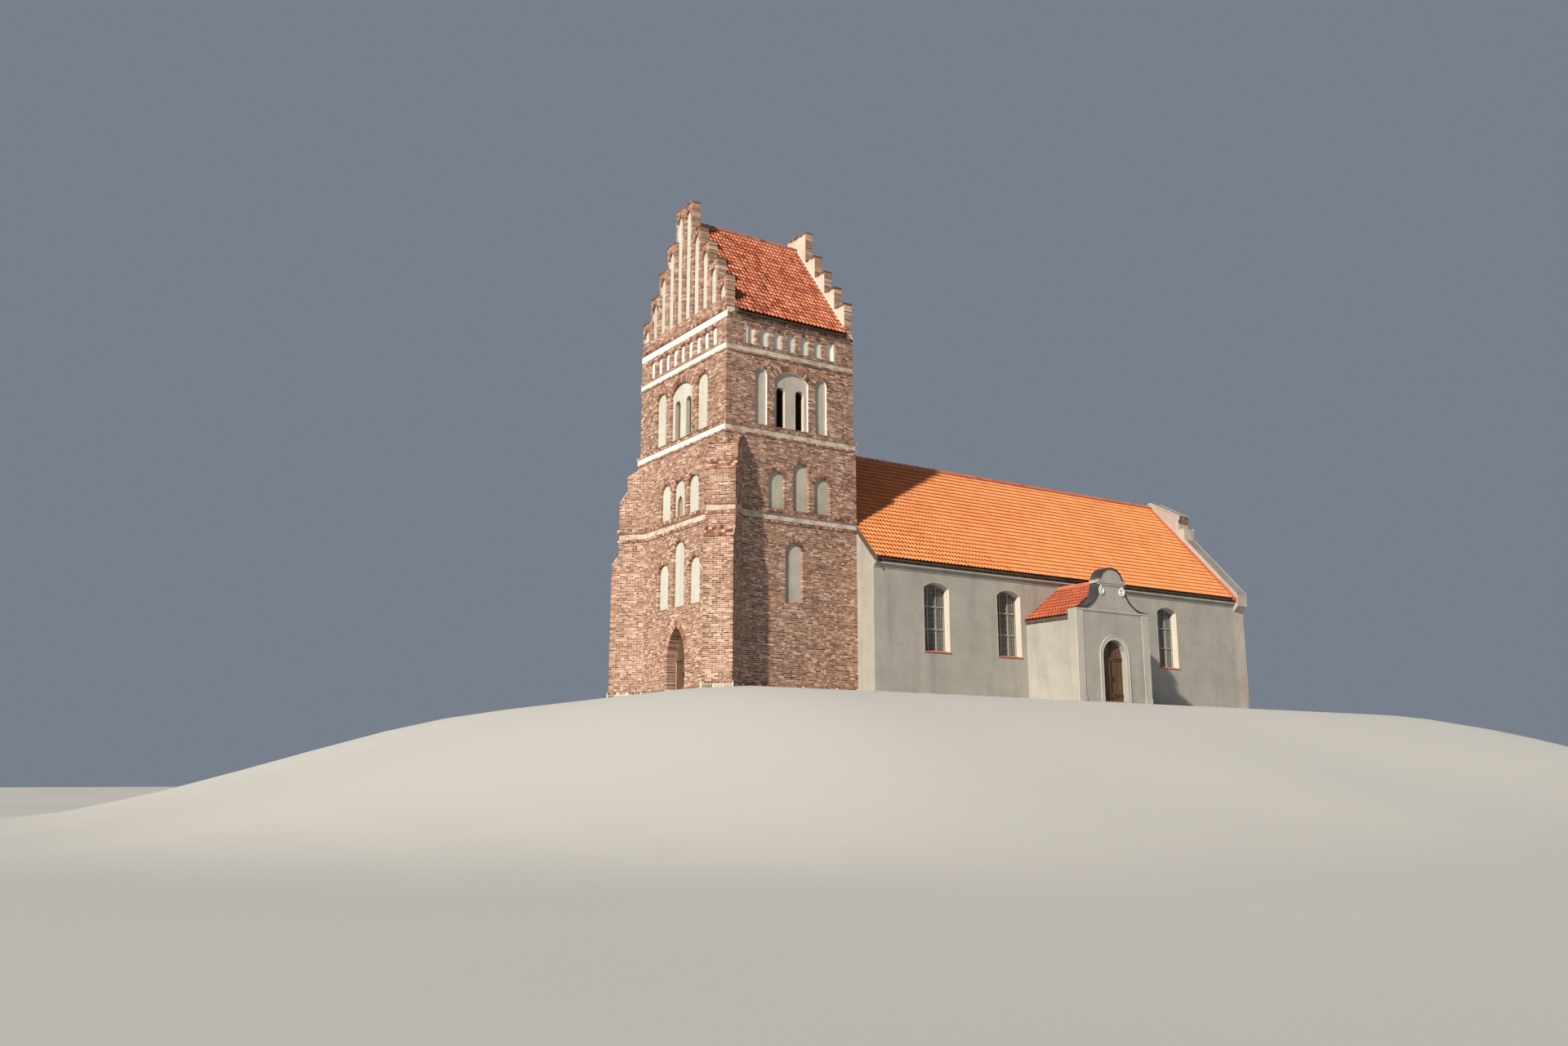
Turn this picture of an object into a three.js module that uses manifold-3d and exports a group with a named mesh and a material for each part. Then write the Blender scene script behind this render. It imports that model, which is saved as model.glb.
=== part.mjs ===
// A brick parish church: a square west tower with diagonal buttresses, stepped gables and a saddle roof,
// a wide plastered nave under a steep pantiled roof with a shaped east gable, and a gabled south porch.
// Church coordinates, in millimetres: X runs east from the tower's west face, Y north from its south
// face, Z up from the ground.
import * as THREE from 'three';
import { mergeVertices } from 'three/addons/utils/BufferGeometryUtils.js';
import Module from 'manifold-3d';

const wasm = await Module();
wasm.setup();

// Driving dimensions
const GAP = 0.3;
const FLOOR = 200;

const TOWER_LENGTH = 6860;
const TOWER_WIDTH = 8000;
const MIDDLE = TOWER_WIDTH / 2;
const LOWER_WALL = 1300;
const LOWER_TOP = 11200;
const BELFRY_SETBACK = 80;
const BELFRY_INNER = 1150;
const BELFRY_TOP = 16650;
const BELFRY_FLOOR = 200;

const BUTTRESS_HALF = 620;
const BUTTRESS_STAGES = [
  { reach: 950, shoulder: 6500, top: 6950 },
  { reach: 630, shoulder: 9400, top: 9900 },
  { reach: 280, shoulder: 10600, top: 11150 },
];

const TOWER_RIDGE = 22200;
const TOWER_EAVES = -250;
const TOWER_ROOF_VERTICAL = 360;
const WALL_WEDGE = 400;
const GABLE_WALL = 400;
const GABLE_STEP = 784;
const GABLE_TOPS = [18300, 19350, 20400, 21450, 22950];
const GABLE_BAND = 150;

const NAVE_END = 31300;
const NAVE_OUTER = -1200;
const NAVE_INNER = -400;
const NAVE_WEST_WALL = 600;
const NAVE_EAVES = { y: -1500, z: 6200 };
const NAVE_RIDGE = 12200;
const NAVE_ROOF_THICKNESS = 220;
// At the eaves a roof thins to its lowest tiles, and reaches its full thickness a short way up the slope.
const EAVES_EDGE = 110;
const EAVES_TAPER = 250;
const EAST_GABLE_WALL = 800;
const RIDGE_TILE = 150;

const NAVE_WINDOWS = [10400, 14800, 21440, 25840];
const WINDOW = { width: 1500, sill: 2300, crown: 5450, rise: 265 };
const GLASS = 60;

const PORCH_MIDDLE = 18120;
const PORCH_HALF = 2220;
const PORCH_WALL = 500;
const PORCH_FRONT = -4500;
const PORCH_EAVES = { half: 2380, z: 4050 };
const PORCH_RIDGE = 5750;
const PORCH_ROOF_THICKNESS = 160;
const DOORWAY = { width: 1500, sill: FLOOR, crown: 3000 };
const PORTAL = { width: 1600, sill: FLOOR, crown: 3300 };
const INNER_DOORWAY = { width: 1600, sill: FLOOR, crown: 2900 };
const DOOR_LEAF = 80;
const DOOR_SETBACK = 250;

// Niches and openings of the tower, by face. Places are along Y on the west face and X on the south face.
const NICHE_DEPTH = 120;
const LANCET_DEPTH = 260;
const WEST_LOWER_NICHES = [
  { centre: 2630, width: 940, sill: 8100, crown: 9850 },
  { centre: 3900, width: 1000, sill: 8100, crown: 9850 },
  { centre: 5160, width: 900, sill: 8100, crown: 9850 },
  { centre: 2450, width: 930, sill: 4100, crown: 6200 },
  { centre: 3850, width: 980, sill: 4100, crown: 7070 },
  { centre: 5250, width: 930, sill: 4100, crown: 6200 },
];
const WEST_SMALL_LANCET = { centre: 4000, width: 490, sill: 8200, crown: 9130 };
const SOUTH_LOWER_NICHES = [
  { centre: 2590, width: 820, sill: 8100, crown: 9820 },
  { centre: 3865, width: 830, sill: 8100, crown: 10290 },
  { centre: 5000, width: 840, sill: 8100, crown: 9820 },
  { centre: 3500, width: 900, sill: 4100, crown: 6750 },
];
const BELFRY_SILL = 11750;
const LANCETS = { spacing: 1000, width: 480, sill: 11800, crown: 13660 };
const EAST_LANCET_SILL = 12600;
const SOUTH_BELFRY = {
  middle: TOWER_LENGTH / 2, wide: 1800, wideCrown: 14400, side: 630, sideOffset: 1590, sideCrown: 14350,
};
const WEST_BELFRY = { middle: MIDDLE, wide: 1930, wideCrown: 14400, side: 950, sideOffset: 1880, sideCrown: 14350 };
const WIDE_RISE = 420;
const TOP_NICHE = { width: 450, pitch: 715, sill: 15300, crown: 16200 };
const TOP_NICHES_ON_ENDS = 9;
const TOP_NICHES_ON_SIDES = 7;
const GABLE_NICHE = { width: 480, sill: 17250, below: 350, depth: 100 };

// Bands: each course stands out by its own amount from the wall. The first is the tower's plinth.
const LOWER_COURSES = [
  { z0: 0, z1: 600, out: 60 },
  { z0: 7500, z1: 7600, out: 50 },
  { z0: 7900, z1: 8100, out: 60 },
];
const BELFRY_COURSES = [
  { z0: 11200, z1: 11290, out: 120 },
  { z0: 11290, z1: 11540, out: 90 },
  { z0: 11540, z1: 11630, out: 130 },
  { z0: 14850, z1: 14930, out: 50 },
  { z0: 14930, z1: 15180, out: 20 },
  { z0: 15180, z1: 15250, out: 60 },
];
const EAVES_COURSE = { z0: 16400, z1: 16550, out: 50 };

const ARC_STEPS = 8;

// Outlines
function rect(u0, v0, u1, v1) {
  return [[u0, v0], [u1, v0], [u1, v1], [u0, v1]];
}

function arc(centreU, centreV, radiusU, radiusV, from, to, steps = ARC_STEPS) {
  return Array.from({ length: steps + 1 }, (_, i) => {
    const angle = from + (to - from) * (i / steps);
    return [centreU + radiusU * Math.cos(angle), centreV + radiusV * Math.sin(angle)];
  });
}

// A straight-sided opening with a round or flatter curved head.
function roundHead({ centre, width, sill, crown, rise = width / 2 }, inset = 0) {
  const half = width / 2 - inset;
  const height = rise - inset * (rise < width / 2 ? 0.5 : 1);
  const radius = (half * half + height * height) / (2 * height);
  const spread = Math.asin(Math.min(1, half / radius));
  const top = crown - inset;
  const head = arc(centre, top - radius, radius, radius, Math.PI / 2 - spread, Math.PI / 2 + spread);
  return [[centre - half, sill + inset], [centre + half, sill + inset], ...head];
}

// The same with a pointed head, each side struck from the opposite springing.
function pointedHead({ centre, width, sill, crown }, inset = 0) {
  const half = width / 2 - inset;
  const radius = 2 * half;
  const spring = crown - inset - radius * Math.sin(Math.PI / 3);
  const right = arc(centre - half, spring, radius, radius, 0, Math.PI / 3, ARC_STEPS / 2);
  const left = arc(centre + half, spring, radius, radius, (2 * Math.PI) / 3, Math.PI, ARC_STEPS / 2);
  return [[centre - half, sill + inset], [centre + half, sill + inset], ...right, ...left.slice(1)];
}

// Solids
function solid(geometry) {
  geometry.deleteAttribute('normal');
  geometry.deleteAttribute('uv');
  const merged = mergeVertices(geometry, 0.001);
  return new wasm.Manifold(new wasm.Mesh({
    numProp: 3,
    vertProperties: new Float32Array(merged.attributes.position.array),
    triVerts: new Uint32Array(merged.index.array),
  }));
}

function extrusion(points, depth) {
  const shape = new THREE.Shape(points.map(([u, v]) => new THREE.Vector2(u, v)));
  return new THREE.ExtrudeGeometry(shape, { depth, bevelEnabled: false });
}

const EAST = new THREE.Vector3(1, 0, 0);
const NORTH = new THREE.Vector3(0, 1, 0);
const SOUTHWARD = new THREE.Vector3(0, -1, 0);
const UP = new THREE.Vector3(0, 0, 1);

// An outline in Y and Z, run along X.
function alongX(points, from, to) {
  const geometry = extrusion(points, Math.abs(to - from));
  geometry.applyMatrix4(new THREE.Matrix4().makeBasis(NORTH, UP, EAST));
  geometry.translate(Math.min(from, to), 0, 0);
  return solid(geometry);
}

// An outline in X and Z, run along Y.
function alongY(points, from, to) {
  const geometry = extrusion(points, Math.abs(to - from));
  geometry.applyMatrix4(new THREE.Matrix4().makeBasis(EAST, UP, SOUTHWARD));
  geometry.translate(0, Math.max(from, to), 0);
  return solid(geometry);
}

// A plan outline in X and Y, run up Z.
function alongZ(points, from, to) {
  const geometry = extrusion(points, to - from);
  geometry.translate(0, 0, from);
  return solid(geometry);
}

function box([x0, x1], [y0, y1], [z0, z1]) {
  return alongZ(rect(Math.min(x0, x1), Math.min(y0, y1), Math.max(x0, x1), Math.max(y0, y1)), z0, z1);
}

function joined(first, ...rest) {
  return rest.reduce((whole, piece) => whole.add(piece), first);
}

function cut(first, ...rest) {
  return rest.reduce((whole, piece) => whole.subtract(piece), first);
}

// Materials
function finish(color, roughness, metalness = 0) {
  return new THREE.MeshStandardMaterial({ color, roughness, metalness });
}

const brick = finish(0xb5694c, 0.9);
const plaster = finish(0xb9b4a6, 0.92);
const creamPlaster = finish(0xe3d6bd, 0.92);
const naveTile = finish(0xc9572c, 0.75);
const towerTile = finish(0xb84f33, 0.8);
const stone = finish(0x9a958a, 0.9);
const oak = finish(0x6a4c33, 0.75);
const glass = finish(0x39464d, 0.1);
const boards = finish(0x8a7358, 0.85);

const church = new THREE.Group();

function add(name, piece, material) {
  const data = piece.getMesh();
  const geometry = new THREE.BufferGeometry();
  geometry.setAttribute('position', new THREE.BufferAttribute(new Float32Array(data.vertProperties), 3));
  geometry.setIndex(new THREE.BufferAttribute(new Uint32Array(data.triVerts), 1));
  geometry.computeVertexNormals();
  const mesh = new THREE.Mesh(geometry, material);
  mesh.name = name;
  church.add(mesh);
}

// The plan is mirrored north to south about the middle, and the tower's head west to east.
const SIDES = [
  { name: 'south', y: (value) => value },
  { name: 'north', y: (value) => TOWER_WIDTH - value },
];
const ENDS = [
  { name: 'west', x: (value) => value },
  { name: 'east', x: (value) => TOWER_LENGTH - value },
];

// Tower below the belfry
function lowerCourseAcross(course) {
  // On the west face a course stops against the buttresses, with its ends cut on their slant.
  const meet = Math.SQRT2 * (BUTTRESS_HALF + course.out) + GAP;
  const plan = [
    [BELFRY_SETBACK, meet], [0, meet], [-course.out, meet - course.out],
    [-course.out, TOWER_WIDTH - meet + course.out], [0, TOWER_WIDTH - meet], [BELFRY_SETBACK, TOWER_WIDTH - meet],
  ];
  return alongZ(plan, course.z0, course.z1);
}

function lowerCourseBeside(course, side, from, to) {
  const start = from === 0 ? Math.SQRT2 * (BUTTRESS_HALF + course.out) + GAP : from;
  const slant = from === 0 ? course.out : 0;
  const plan = [
    [start, side.y(BELFRY_SETBACK)], [start, side.y(0)], [start - slant, side.y(-course.out)],
    [to, side.y(-course.out)], [to, side.y(BELFRY_SETBACK)],
  ];
  return alongZ(plan, course.z0, course.z1);
}

function towerWestWall() {
  const wall = alongX(rect(0, 0, TOWER_WIDTH, LOWER_TOP), 0, LOWER_WALL);
  const courses = LOWER_COURSES.flatMap((course) => [
    lowerCourseAcross(course),
    ...SIDES.map((side) => lowerCourseBeside(course, side, 0, LOWER_WALL)),
  ]);
  const niches = WEST_LOWER_NICHES.map((niche) => alongX(roundHead(niche), -NICHE_DEPTH, NICHE_DEPTH));
  const lancet = alongX(pointedHead(WEST_SMALL_LANCET), 0, LANCET_DEPTH);
  const portal = alongX(pointedHead({ centre: MIDDLE, ...PORTAL }), -NICHE_DEPTH, LOWER_WALL + NICHE_DEPTH);
  return cut(joined(wall, ...courses), ...niches, lancet, portal);
}

function towerSideWall(side) {
  const span = [LOWER_WALL, TOWER_LENGTH - LOWER_WALL];
  const wall = box(span, [side.y(0), side.y(LOWER_WALL)], [0, LOWER_TOP]);
  const courses = LOWER_COURSES.map((course) => lowerCourseBeside(course, side, ...span));
  const niches = SOUTH_LOWER_NICHES.map((niche) => (
    alongY(roundHead(niche), side.y(-NICHE_DEPTH), side.y(NICHE_DEPTH))
  ));
  return cut(joined(wall, ...courses), ...niches);
}

function towerEastWall() {
  const west = TOWER_LENGTH - LOWER_WALL;
  const wall = alongX(rect(0, 0, TOWER_WIDTH, LOWER_TOP), west, TOWER_LENGTH);
  const courses = LOWER_COURSES.flatMap((course) => (
    SIDES.map((side) => lowerCourseBeside(course, side, west, TOWER_LENGTH - GAP))
  ));
  const doorway = alongX(
    roundHead({ centre: MIDDLE, ...INNER_DOORWAY }), west - NICHE_DEPTH, TOWER_LENGTH + NICHE_DEPTH,
  );
  return cut(joined(wall, ...courses), doorway);
}

// A diagonal buttress: its stepped outline, from the corner outwards, is run across its width.
function buttress(side) {
  const outwards = new THREE.Vector3(-1, side.y(0) === 0 ? -1 : 1, 0).normalize();
  const across = new THREE.Vector3().crossVectors(outwards, UP);
  const place = (points, width) => {
    const geometry = extrusion(points, width);
    geometry.applyMatrix4(new THREE.Matrix4().makeBasis(outwards, UP, across));
    const start = across.clone().multiplyScalar(-width / 2);
    geometry.translate(start.x, side.y(0) + start.y, 0);
    return solid(geometry);
  };
  const heel = -BUTTRESS_HALF;
  const face = BUTTRESS_STAGES.flatMap(({ reach, shoulder }, index) => {
    const foot = index === 0 ? 0 : BUTTRESS_STAGES[index - 1].top;
    return [[reach, foot], [reach, shoulder]];
  });
  const body = place([[heel, 0], ...face, [heel, BUTTRESS_STAGES.at(-1).top]], 2 * BUTTRESS_HALF);
  const courses = LOWER_COURSES.map(({ z0, z1, out }) => {
    const { reach } = BUTTRESS_STAGES.find((stage) => z0 < stage.shoulder);
    return place(rect(heel, z0, reach + out, z1), 2 * (BUTTRESS_HALF + out));
  });
  const corner = box([-GAP, LOWER_WALL], [side.y(-GAP), side.y(LOWER_WALL)], [-FLOOR, LOWER_TOP + FLOOR]);
  return cut(joined(body, ...courses), corner);
}

// Belfry storey
function belfryCourses(xs, ys, faces) {
  return BELFRY_COURSES.map(({ z0, z1, out }) => (
    box([xs[0] - faces.west * out, xs[1] + faces.east * out],
      [ys[0] - faces.south * out, ys[1] + faces.north * out], [z0, z1])
  ));
}

function topNiches(middle, count) {
  return Array.from({ length: count }, (_, i) => ({
    centre: middle + (i - (count - 1) / 2) * TOP_NICHE.pitch, ...TOP_NICHE,
  }));
}

function belfryRecesses(face, wideSill = BELFRY_SILL) {
  const { middle, wide, wideCrown, side, sideOffset, sideCrown } = face;
  return [
    { centre: middle, width: wide, sill: wideSill, crown: wideCrown, rise: WIDE_RISE },
    { centre: middle - sideOffset, width: side, sill: BELFRY_SILL, crown: sideCrown },
    { centre: middle + sideOffset, width: side, sill: BELFRY_SILL, crown: sideCrown },
  ];
}

function lancets(middle, sill) {
  return [-1, 1].map((way) => ({ ...LANCETS, sill, centre: middle + (way * LANCETS.spacing) / 2 }));
}

// The outline that the nave's roof fills against the tower, a little larger than the roof.
function naveRoofOutline(margin) {
  const lift = margin * Math.hypot(1, naveSlope);
  return [
    [NAVE_EAVES.y, 0], [TOWER_WIDTH - NAVE_EAVES.y, 0], [TOWER_WIDTH - NAVE_EAVES.y, NAVE_EAVES.z + lift],
    [MIDDLE, NAVE_RIDGE + lift], [NAVE_EAVES.y, NAVE_EAVES.z + lift],
  ];
}

function belfryEndWall(end) {
  const xs = [end.x(BELFRY_SETBACK), end.x(BELFRY_INNER)].sort((a, b) => a - b);
  const ys = [BELFRY_SETBACK, TOWER_WIDTH - BELFRY_SETBACK];
  const wall = box(xs, ys, [LOWER_TOP, BELFRY_TOP]);
  const faces = { west: end.name === 'west' ? 1 : 0, east: end.name === 'east' ? 1 : 0, south: 1, north: 1 };
  const courses = belfryCourses(xs, ys, faces);
  const sides = { west: 0, east: 0, south: 1, north: 1 };
  const eaves = box(xs, [ys[0] - sides.south * EAVES_COURSE.out, ys[1] + sides.north * EAVES_COURSE.out],
    [EAVES_COURSE.z0, EAVES_COURSE.z1]);
  const lancetSill = end.name === 'west' ? LANCETS.sill : EAST_LANCET_SILL;
  const wideSill = end.name === 'west' ? BELFRY_SILL : EAST_LANCET_SILL;
  const face = end.x(BELFRY_SETBACK);
  const inwards = end.name === 'west' ? 1 : -1;
  const niches = [...belfryRecesses(WEST_BELFRY, wideSill), ...topNiches(MIDDLE, TOP_NICHES_ON_ENDS)];
  const recesses = niches.map((niche) => (
    alongX(roundHead(niche), face - inwards * NICHE_DEPTH, face + inwards * NICHE_DEPTH)
  ));
  const holes = lancets(WEST_BELFRY.middle, lancetSill).map((lancet) => (
    alongX(roundHead(lancet), face - inwards * NICHE_DEPTH, face + inwards * (BELFRY_INNER + NICHE_DEPTH))
  ));
  const whole = cut(joined(wall, ...courses, eaves), ...recesses, ...holes);
  if (end.name === 'west') return whole;
  const roofPlace = alongX(naveRoofOutline(RIDGE_TILE), TOWER_LENGTH - GAP, TOWER_LENGTH + LOWER_WALL);
  return cut(whole, roofPlace);
}

function belfrySideWall(side) {
  const xs = [BELFRY_INNER, TOWER_LENGTH - BELFRY_INNER];
  const ys = [side.y(BELFRY_SETBACK), side.y(BELFRY_INNER)].sort((a, b) => a - b);
  const faces = { west: 0, east: 0, south: side.name === 'south' ? 1 : 0, north: side.name === 'north' ? 1 : 0 };
  const wall = box(xs, ys, [LOWER_TOP, BELFRY_TOP]);
  const courses = belfryCourses(xs, ys, faces);
  const eaves = box(xs, [side.y(BELFRY_SETBACK - EAVES_COURSE.out), side.y(BELFRY_INNER)],
    [EAVES_COURSE.z0, EAVES_COURSE.z1]);
  const rise = WALL_WEDGE * towerSlope;
  const wedge = alongX([
    [side.y(BELFRY_SETBACK), BELFRY_TOP - BELFRY_FLOOR], [side.y(BELFRY_SETBACK + WALL_WEDGE), BELFRY_TOP - BELFRY_FLOOR],
    [side.y(BELFRY_SETBACK + WALL_WEDGE), BELFRY_TOP + rise - 2 * GAP], [side.y(BELFRY_SETBACK), BELFRY_TOP - 2 * GAP],
  ], ...xs);
  const niches = [...belfryRecesses(SOUTH_BELFRY), ...topNiches(TOWER_LENGTH / 2, TOP_NICHES_ON_SIDES)];
  const recesses = niches.map((niche) => (
    alongY(roundHead(niche), side.y(BELFRY_SETBACK - NICHE_DEPTH), side.y(BELFRY_SETBACK + NICHE_DEPTH))
  ));
  const holes = lancets(SOUTH_BELFRY.middle, LANCETS.sill).map((lancet) => (
    alongY(roundHead(lancet), side.y(-NICHE_DEPTH), side.y(BELFRY_INNER + NICHE_DEPTH))
  ));
  return cut(joined(wall, ...courses, eaves, wedge), ...recesses, ...holes);
}

// Tower roof: two slopes between stepped gables.
const towerUnder = BELFRY_TOP;
const towerSlope = (TOWER_RIDGE - TOWER_ROOF_VERTICAL - towerUnder) / (MIDDLE - BELFRY_SETBACK);

function towerRoofZ(y) {
  return TOWER_RIDGE - (MIDDLE - y) * towerSlope;
}

function towerRoofSlope(side) {
  const xs = [BELFRY_SETBACK + GABLE_WALL, TOWER_LENGTH - BELFRY_SETBACK - GABLE_WALL];
  const full = TOWER_EAVES + EAVES_TAPER;
  const points = [
    [TOWER_EAVES, towerRoofZ(TOWER_EAVES) - EAVES_EDGE], [TOWER_EAVES, towerRoofZ(TOWER_EAVES)],
    [MIDDLE, TOWER_RIDGE], [MIDDLE, TOWER_RIDGE - TOWER_ROOF_VERTICAL], [full, towerRoofZ(full) - TOWER_ROOF_VERTICAL],
  ].map(([y, z]) => [side.y(y), z]);
  return alongX(points, xs[0] + GAP, xs[1] - GAP);
}

// A run of ridge tiles: round on top, hollowed below to sit on both slopes.
function ridgeRun(peak, slope, radius) {
  const drop = radius * 0.75;
  const head = arc(0, peak - drop * 0.2, radius, radius, 0, Math.PI);
  return [[radius, peak - radius * slope + GAP], ...head, [-radius, peak - radius * slope + GAP], [0, peak + 2 * GAP]];
}

function towerGable(end) {
  const xs = [end.x(BELFRY_SETBACK), end.x(BELFRY_SETBACK + GABLE_WALL)];
  const steps = GABLE_TOPS.flatMap((top, index) => {
    const inner = MIDDLE - (GABLE_TOPS.length - 1 - index) * GABLE_STEP;
    const outer = index === 0 ? BELFRY_SETBACK : inner - GABLE_STEP;
    return index === GABLE_TOPS.length - 1 ? [[outer, top]] : [[outer, top], [inner, top]];
  });
  const southHalf = [[BELFRY_SETBACK, BELFRY_TOP], ...steps];
  const northHalf = southHalf.map(([y, z]) => [TOWER_WIDTH - y, z]).reverse();
  const body = alongX([...southHalf, ...northHalf], ...xs);
  const out = end.x(BELFRY_SETBACK - EAVES_COURSE.out);
  const band = box([out, xs[1]], [BELFRY_SETBACK, TOWER_WIDTH - BELFRY_SETBACK], [BELFRY_TOP, BELFRY_TOP + GABLE_BAND]);
  const outwards = end.name === 'west' ? -1 : 1;
  const niches = GABLE_TOPS.flatMap((top, index) => {
    const offset = (GABLE_TOPS.length - index - 0.5) * GABLE_STEP;
    return [-1, 1].map((way) => ({
      centre: MIDDLE + way * offset, width: GABLE_NICHE.width, sill: GABLE_NICHE.sill, crown: top - GABLE_NICHE.below,
    }));
  }).map((niche) => (
    alongX(pointedHead(niche), xs[0] + outwards * GABLE_NICHE.depth, xs[0] - outwards * GABLE_NICHE.depth)
  ));
  return cut(joined(body, band), ...niches);
}

// Nave
const naveSlope = (NAVE_RIDGE - NAVE_EAVES.z) / (MIDDLE - NAVE_EAVES.y);
const naveVertical = NAVE_ROOF_THICKNESS * Math.hypot(1, naveSlope);

function naveRoofZ(y) {
  return NAVE_EAVES.z + (y - NAVE_EAVES.y) * naveSlope;
}

function naveUnderside(y) {
  return naveRoofZ(y) - naveVertical - 2 * GAP;
}

function naveWestGable() {
  const foot = naveUnderside(NAVE_OUTER);
  const points = [
    [NAVE_OUTER, 0], [TOWER_WIDTH - NAVE_OUTER, 0], [TOWER_WIDTH - NAVE_OUTER, foot],
    [MIDDLE, naveUnderside(MIDDLE)], [NAVE_OUTER, foot],
  ];
  const wall = alongX(points, TOWER_LENGTH, TOWER_LENGTH + NAVE_WEST_WALL);
  const doorway = alongX(roundHead({ centre: MIDDLE, ...INNER_DOORWAY }),
    TOWER_LENGTH - NICHE_DEPTH, TOWER_LENGTH + NAVE_WEST_WALL + NICHE_DEPTH);
  return cut(wall, doorway);
}

function naveSideWall(side) {
  const points = [
    [side.y(NAVE_OUTER), 0], [side.y(NAVE_INNER), 0],
    [side.y(NAVE_INNER), naveUnderside(NAVE_INNER)], [side.y(NAVE_OUTER), naveUnderside(NAVE_OUTER)],
  ];
  const wall = alongX(points, TOWER_LENGTH + NAVE_WEST_WALL, NAVE_END);
  const through = [side.y(NAVE_OUTER - NICHE_DEPTH), side.y(NAVE_INNER + NICHE_DEPTH)];
  const windows = NAVE_WINDOWS.map((centre) => alongY(roundHead({ centre, ...WINDOW }), ...through));
  const doorway = side.name === 'south' ? [alongY(roundHead({ centre: PORCH_MIDDLE, ...DOORWAY }), ...through)] : [];
  return cut(wall, ...windows, ...doorway);
}

function naveCornice(side) {
  const points = [
    [NAVE_OUTER, 5900], [NAVE_OUTER - 50, 5900], [NAVE_OUTER - 50, 5980], [NAVE_OUTER - 120, 5980],
    [NAVE_OUTER - 120, naveUnderside(NAVE_OUTER - 120)], [NAVE_OUTER, naveUnderside(NAVE_OUTER)],
  ].map(([y, z]) => [side.y(y), z]);
  return alongX(points, TOWER_LENGTH + GAP, NAVE_END - GAP);
}

function naveRoofSlope(side) {
  const full = NAVE_EAVES.y + EAVES_TAPER;
  const points = [
    [NAVE_EAVES.y, NAVE_EAVES.z - EAVES_EDGE], [NAVE_EAVES.y, NAVE_EAVES.z],
    [MIDDLE, NAVE_RIDGE], [MIDDLE, NAVE_RIDGE - naveVertical], [full, naveRoofZ(full) - naveVertical],
  ].map(([y, z]) => [side.y(y), z]);
  return alongX(points, TOWER_LENGTH + GAP, NAVE_END - GAP);
}

// East gable: a parapet that follows the roof, steps up to a shoulder and ends in a low pediment.
const EAST_GABLE_HALF = [
  [-1200, 0], [-1200, 5600], [-1500, 5900], [-1500, 6500], [1700, 9991],
  [1700, 10650], [2080, 10650], [2080, 11180], [1980, 11240], [1980, 11400],
];
const PEDIMENT_TOP = 12500;
const EAST_STRING = { z0: 5900, z1: 6100, out: 80 };

function naveEastGable() {
  const northHalf = EAST_GABLE_HALF.map(([y, z]) => [TOWER_WIDTH - y, z]).reverse();
  const wall = alongX([...EAST_GABLE_HALF, [MIDDLE, PEDIMENT_TOP], ...northHalf], NAVE_END, NAVE_END + EAST_GABLE_WALL);
  const outer = NAVE_END + EAST_GABLE_WALL;
  const string = box([outer - EAST_STRING.out, outer + EAST_STRING.out],
    [NAVE_OUTER, TOWER_WIDTH - NAVE_OUTER], [EAST_STRING.z0, EAST_STRING.z1]);
  const window = alongX(roundHead({ centre: MIDDLE, ...WINDOW }), NAVE_END - NICHE_DEPTH, outer + NICHE_DEPTH);
  return cut(joined(wall, string), window);
}

// South porch
const porchSlope = (PORCH_RIDGE - PORCH_EAVES.z) / PORCH_EAVES.half;
const porchVertical = PORCH_ROOF_THICKNESS * Math.hypot(1, porchSlope);
const PORCH_BACK = PORCH_FRONT + PORCH_WALL;

function porchRoofZ(offset) {
  return PORCH_RIDGE - offset * porchSlope;
}

function porchSideWall(way) {
  const outer = PORCH_HALF;
  const inner = PORCH_HALF - PORCH_WALL;
  const under = (offset) => porchRoofZ(offset) - porchVertical - 2 * GAP;
  const points = [[outer, 0], [inner, 0], [inner, under(inner)], [outer, under(outer)]]
    .map(([offset, z]) => [PORCH_MIDDLE + way * offset, z]);
  return alongY(points, PORCH_BACK, NAVE_OUTER);
}

function porchRoofSlope(way) {
  const points = [
    [0, PORCH_RIDGE - porchVertical], [PORCH_EAVES.half, PORCH_EAVES.z - porchVertical],
    [PORCH_EAVES.half, PORCH_EAVES.z], [0, PORCH_RIDGE],
  ].map(([offset, z]) => [PORCH_MIDDLE + way * offset, z]);
  return alongY(points, PORCH_BACK + GAP, NAVE_OUTER - GAP);
}

// The porch's shaped gable: shoulders, hollow curved flanks, a ledge and a curved head.
const PORCH_SHOULDER = 4350;
const PORCH_LEDGE = { z: 5600, half: 900, thick: 140, out: 80 };
const PORCH_HEAD = { half: 800, rise: 590 };
const PORCH_HOLLOW = { centre: 2220, across: 1400 };

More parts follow.
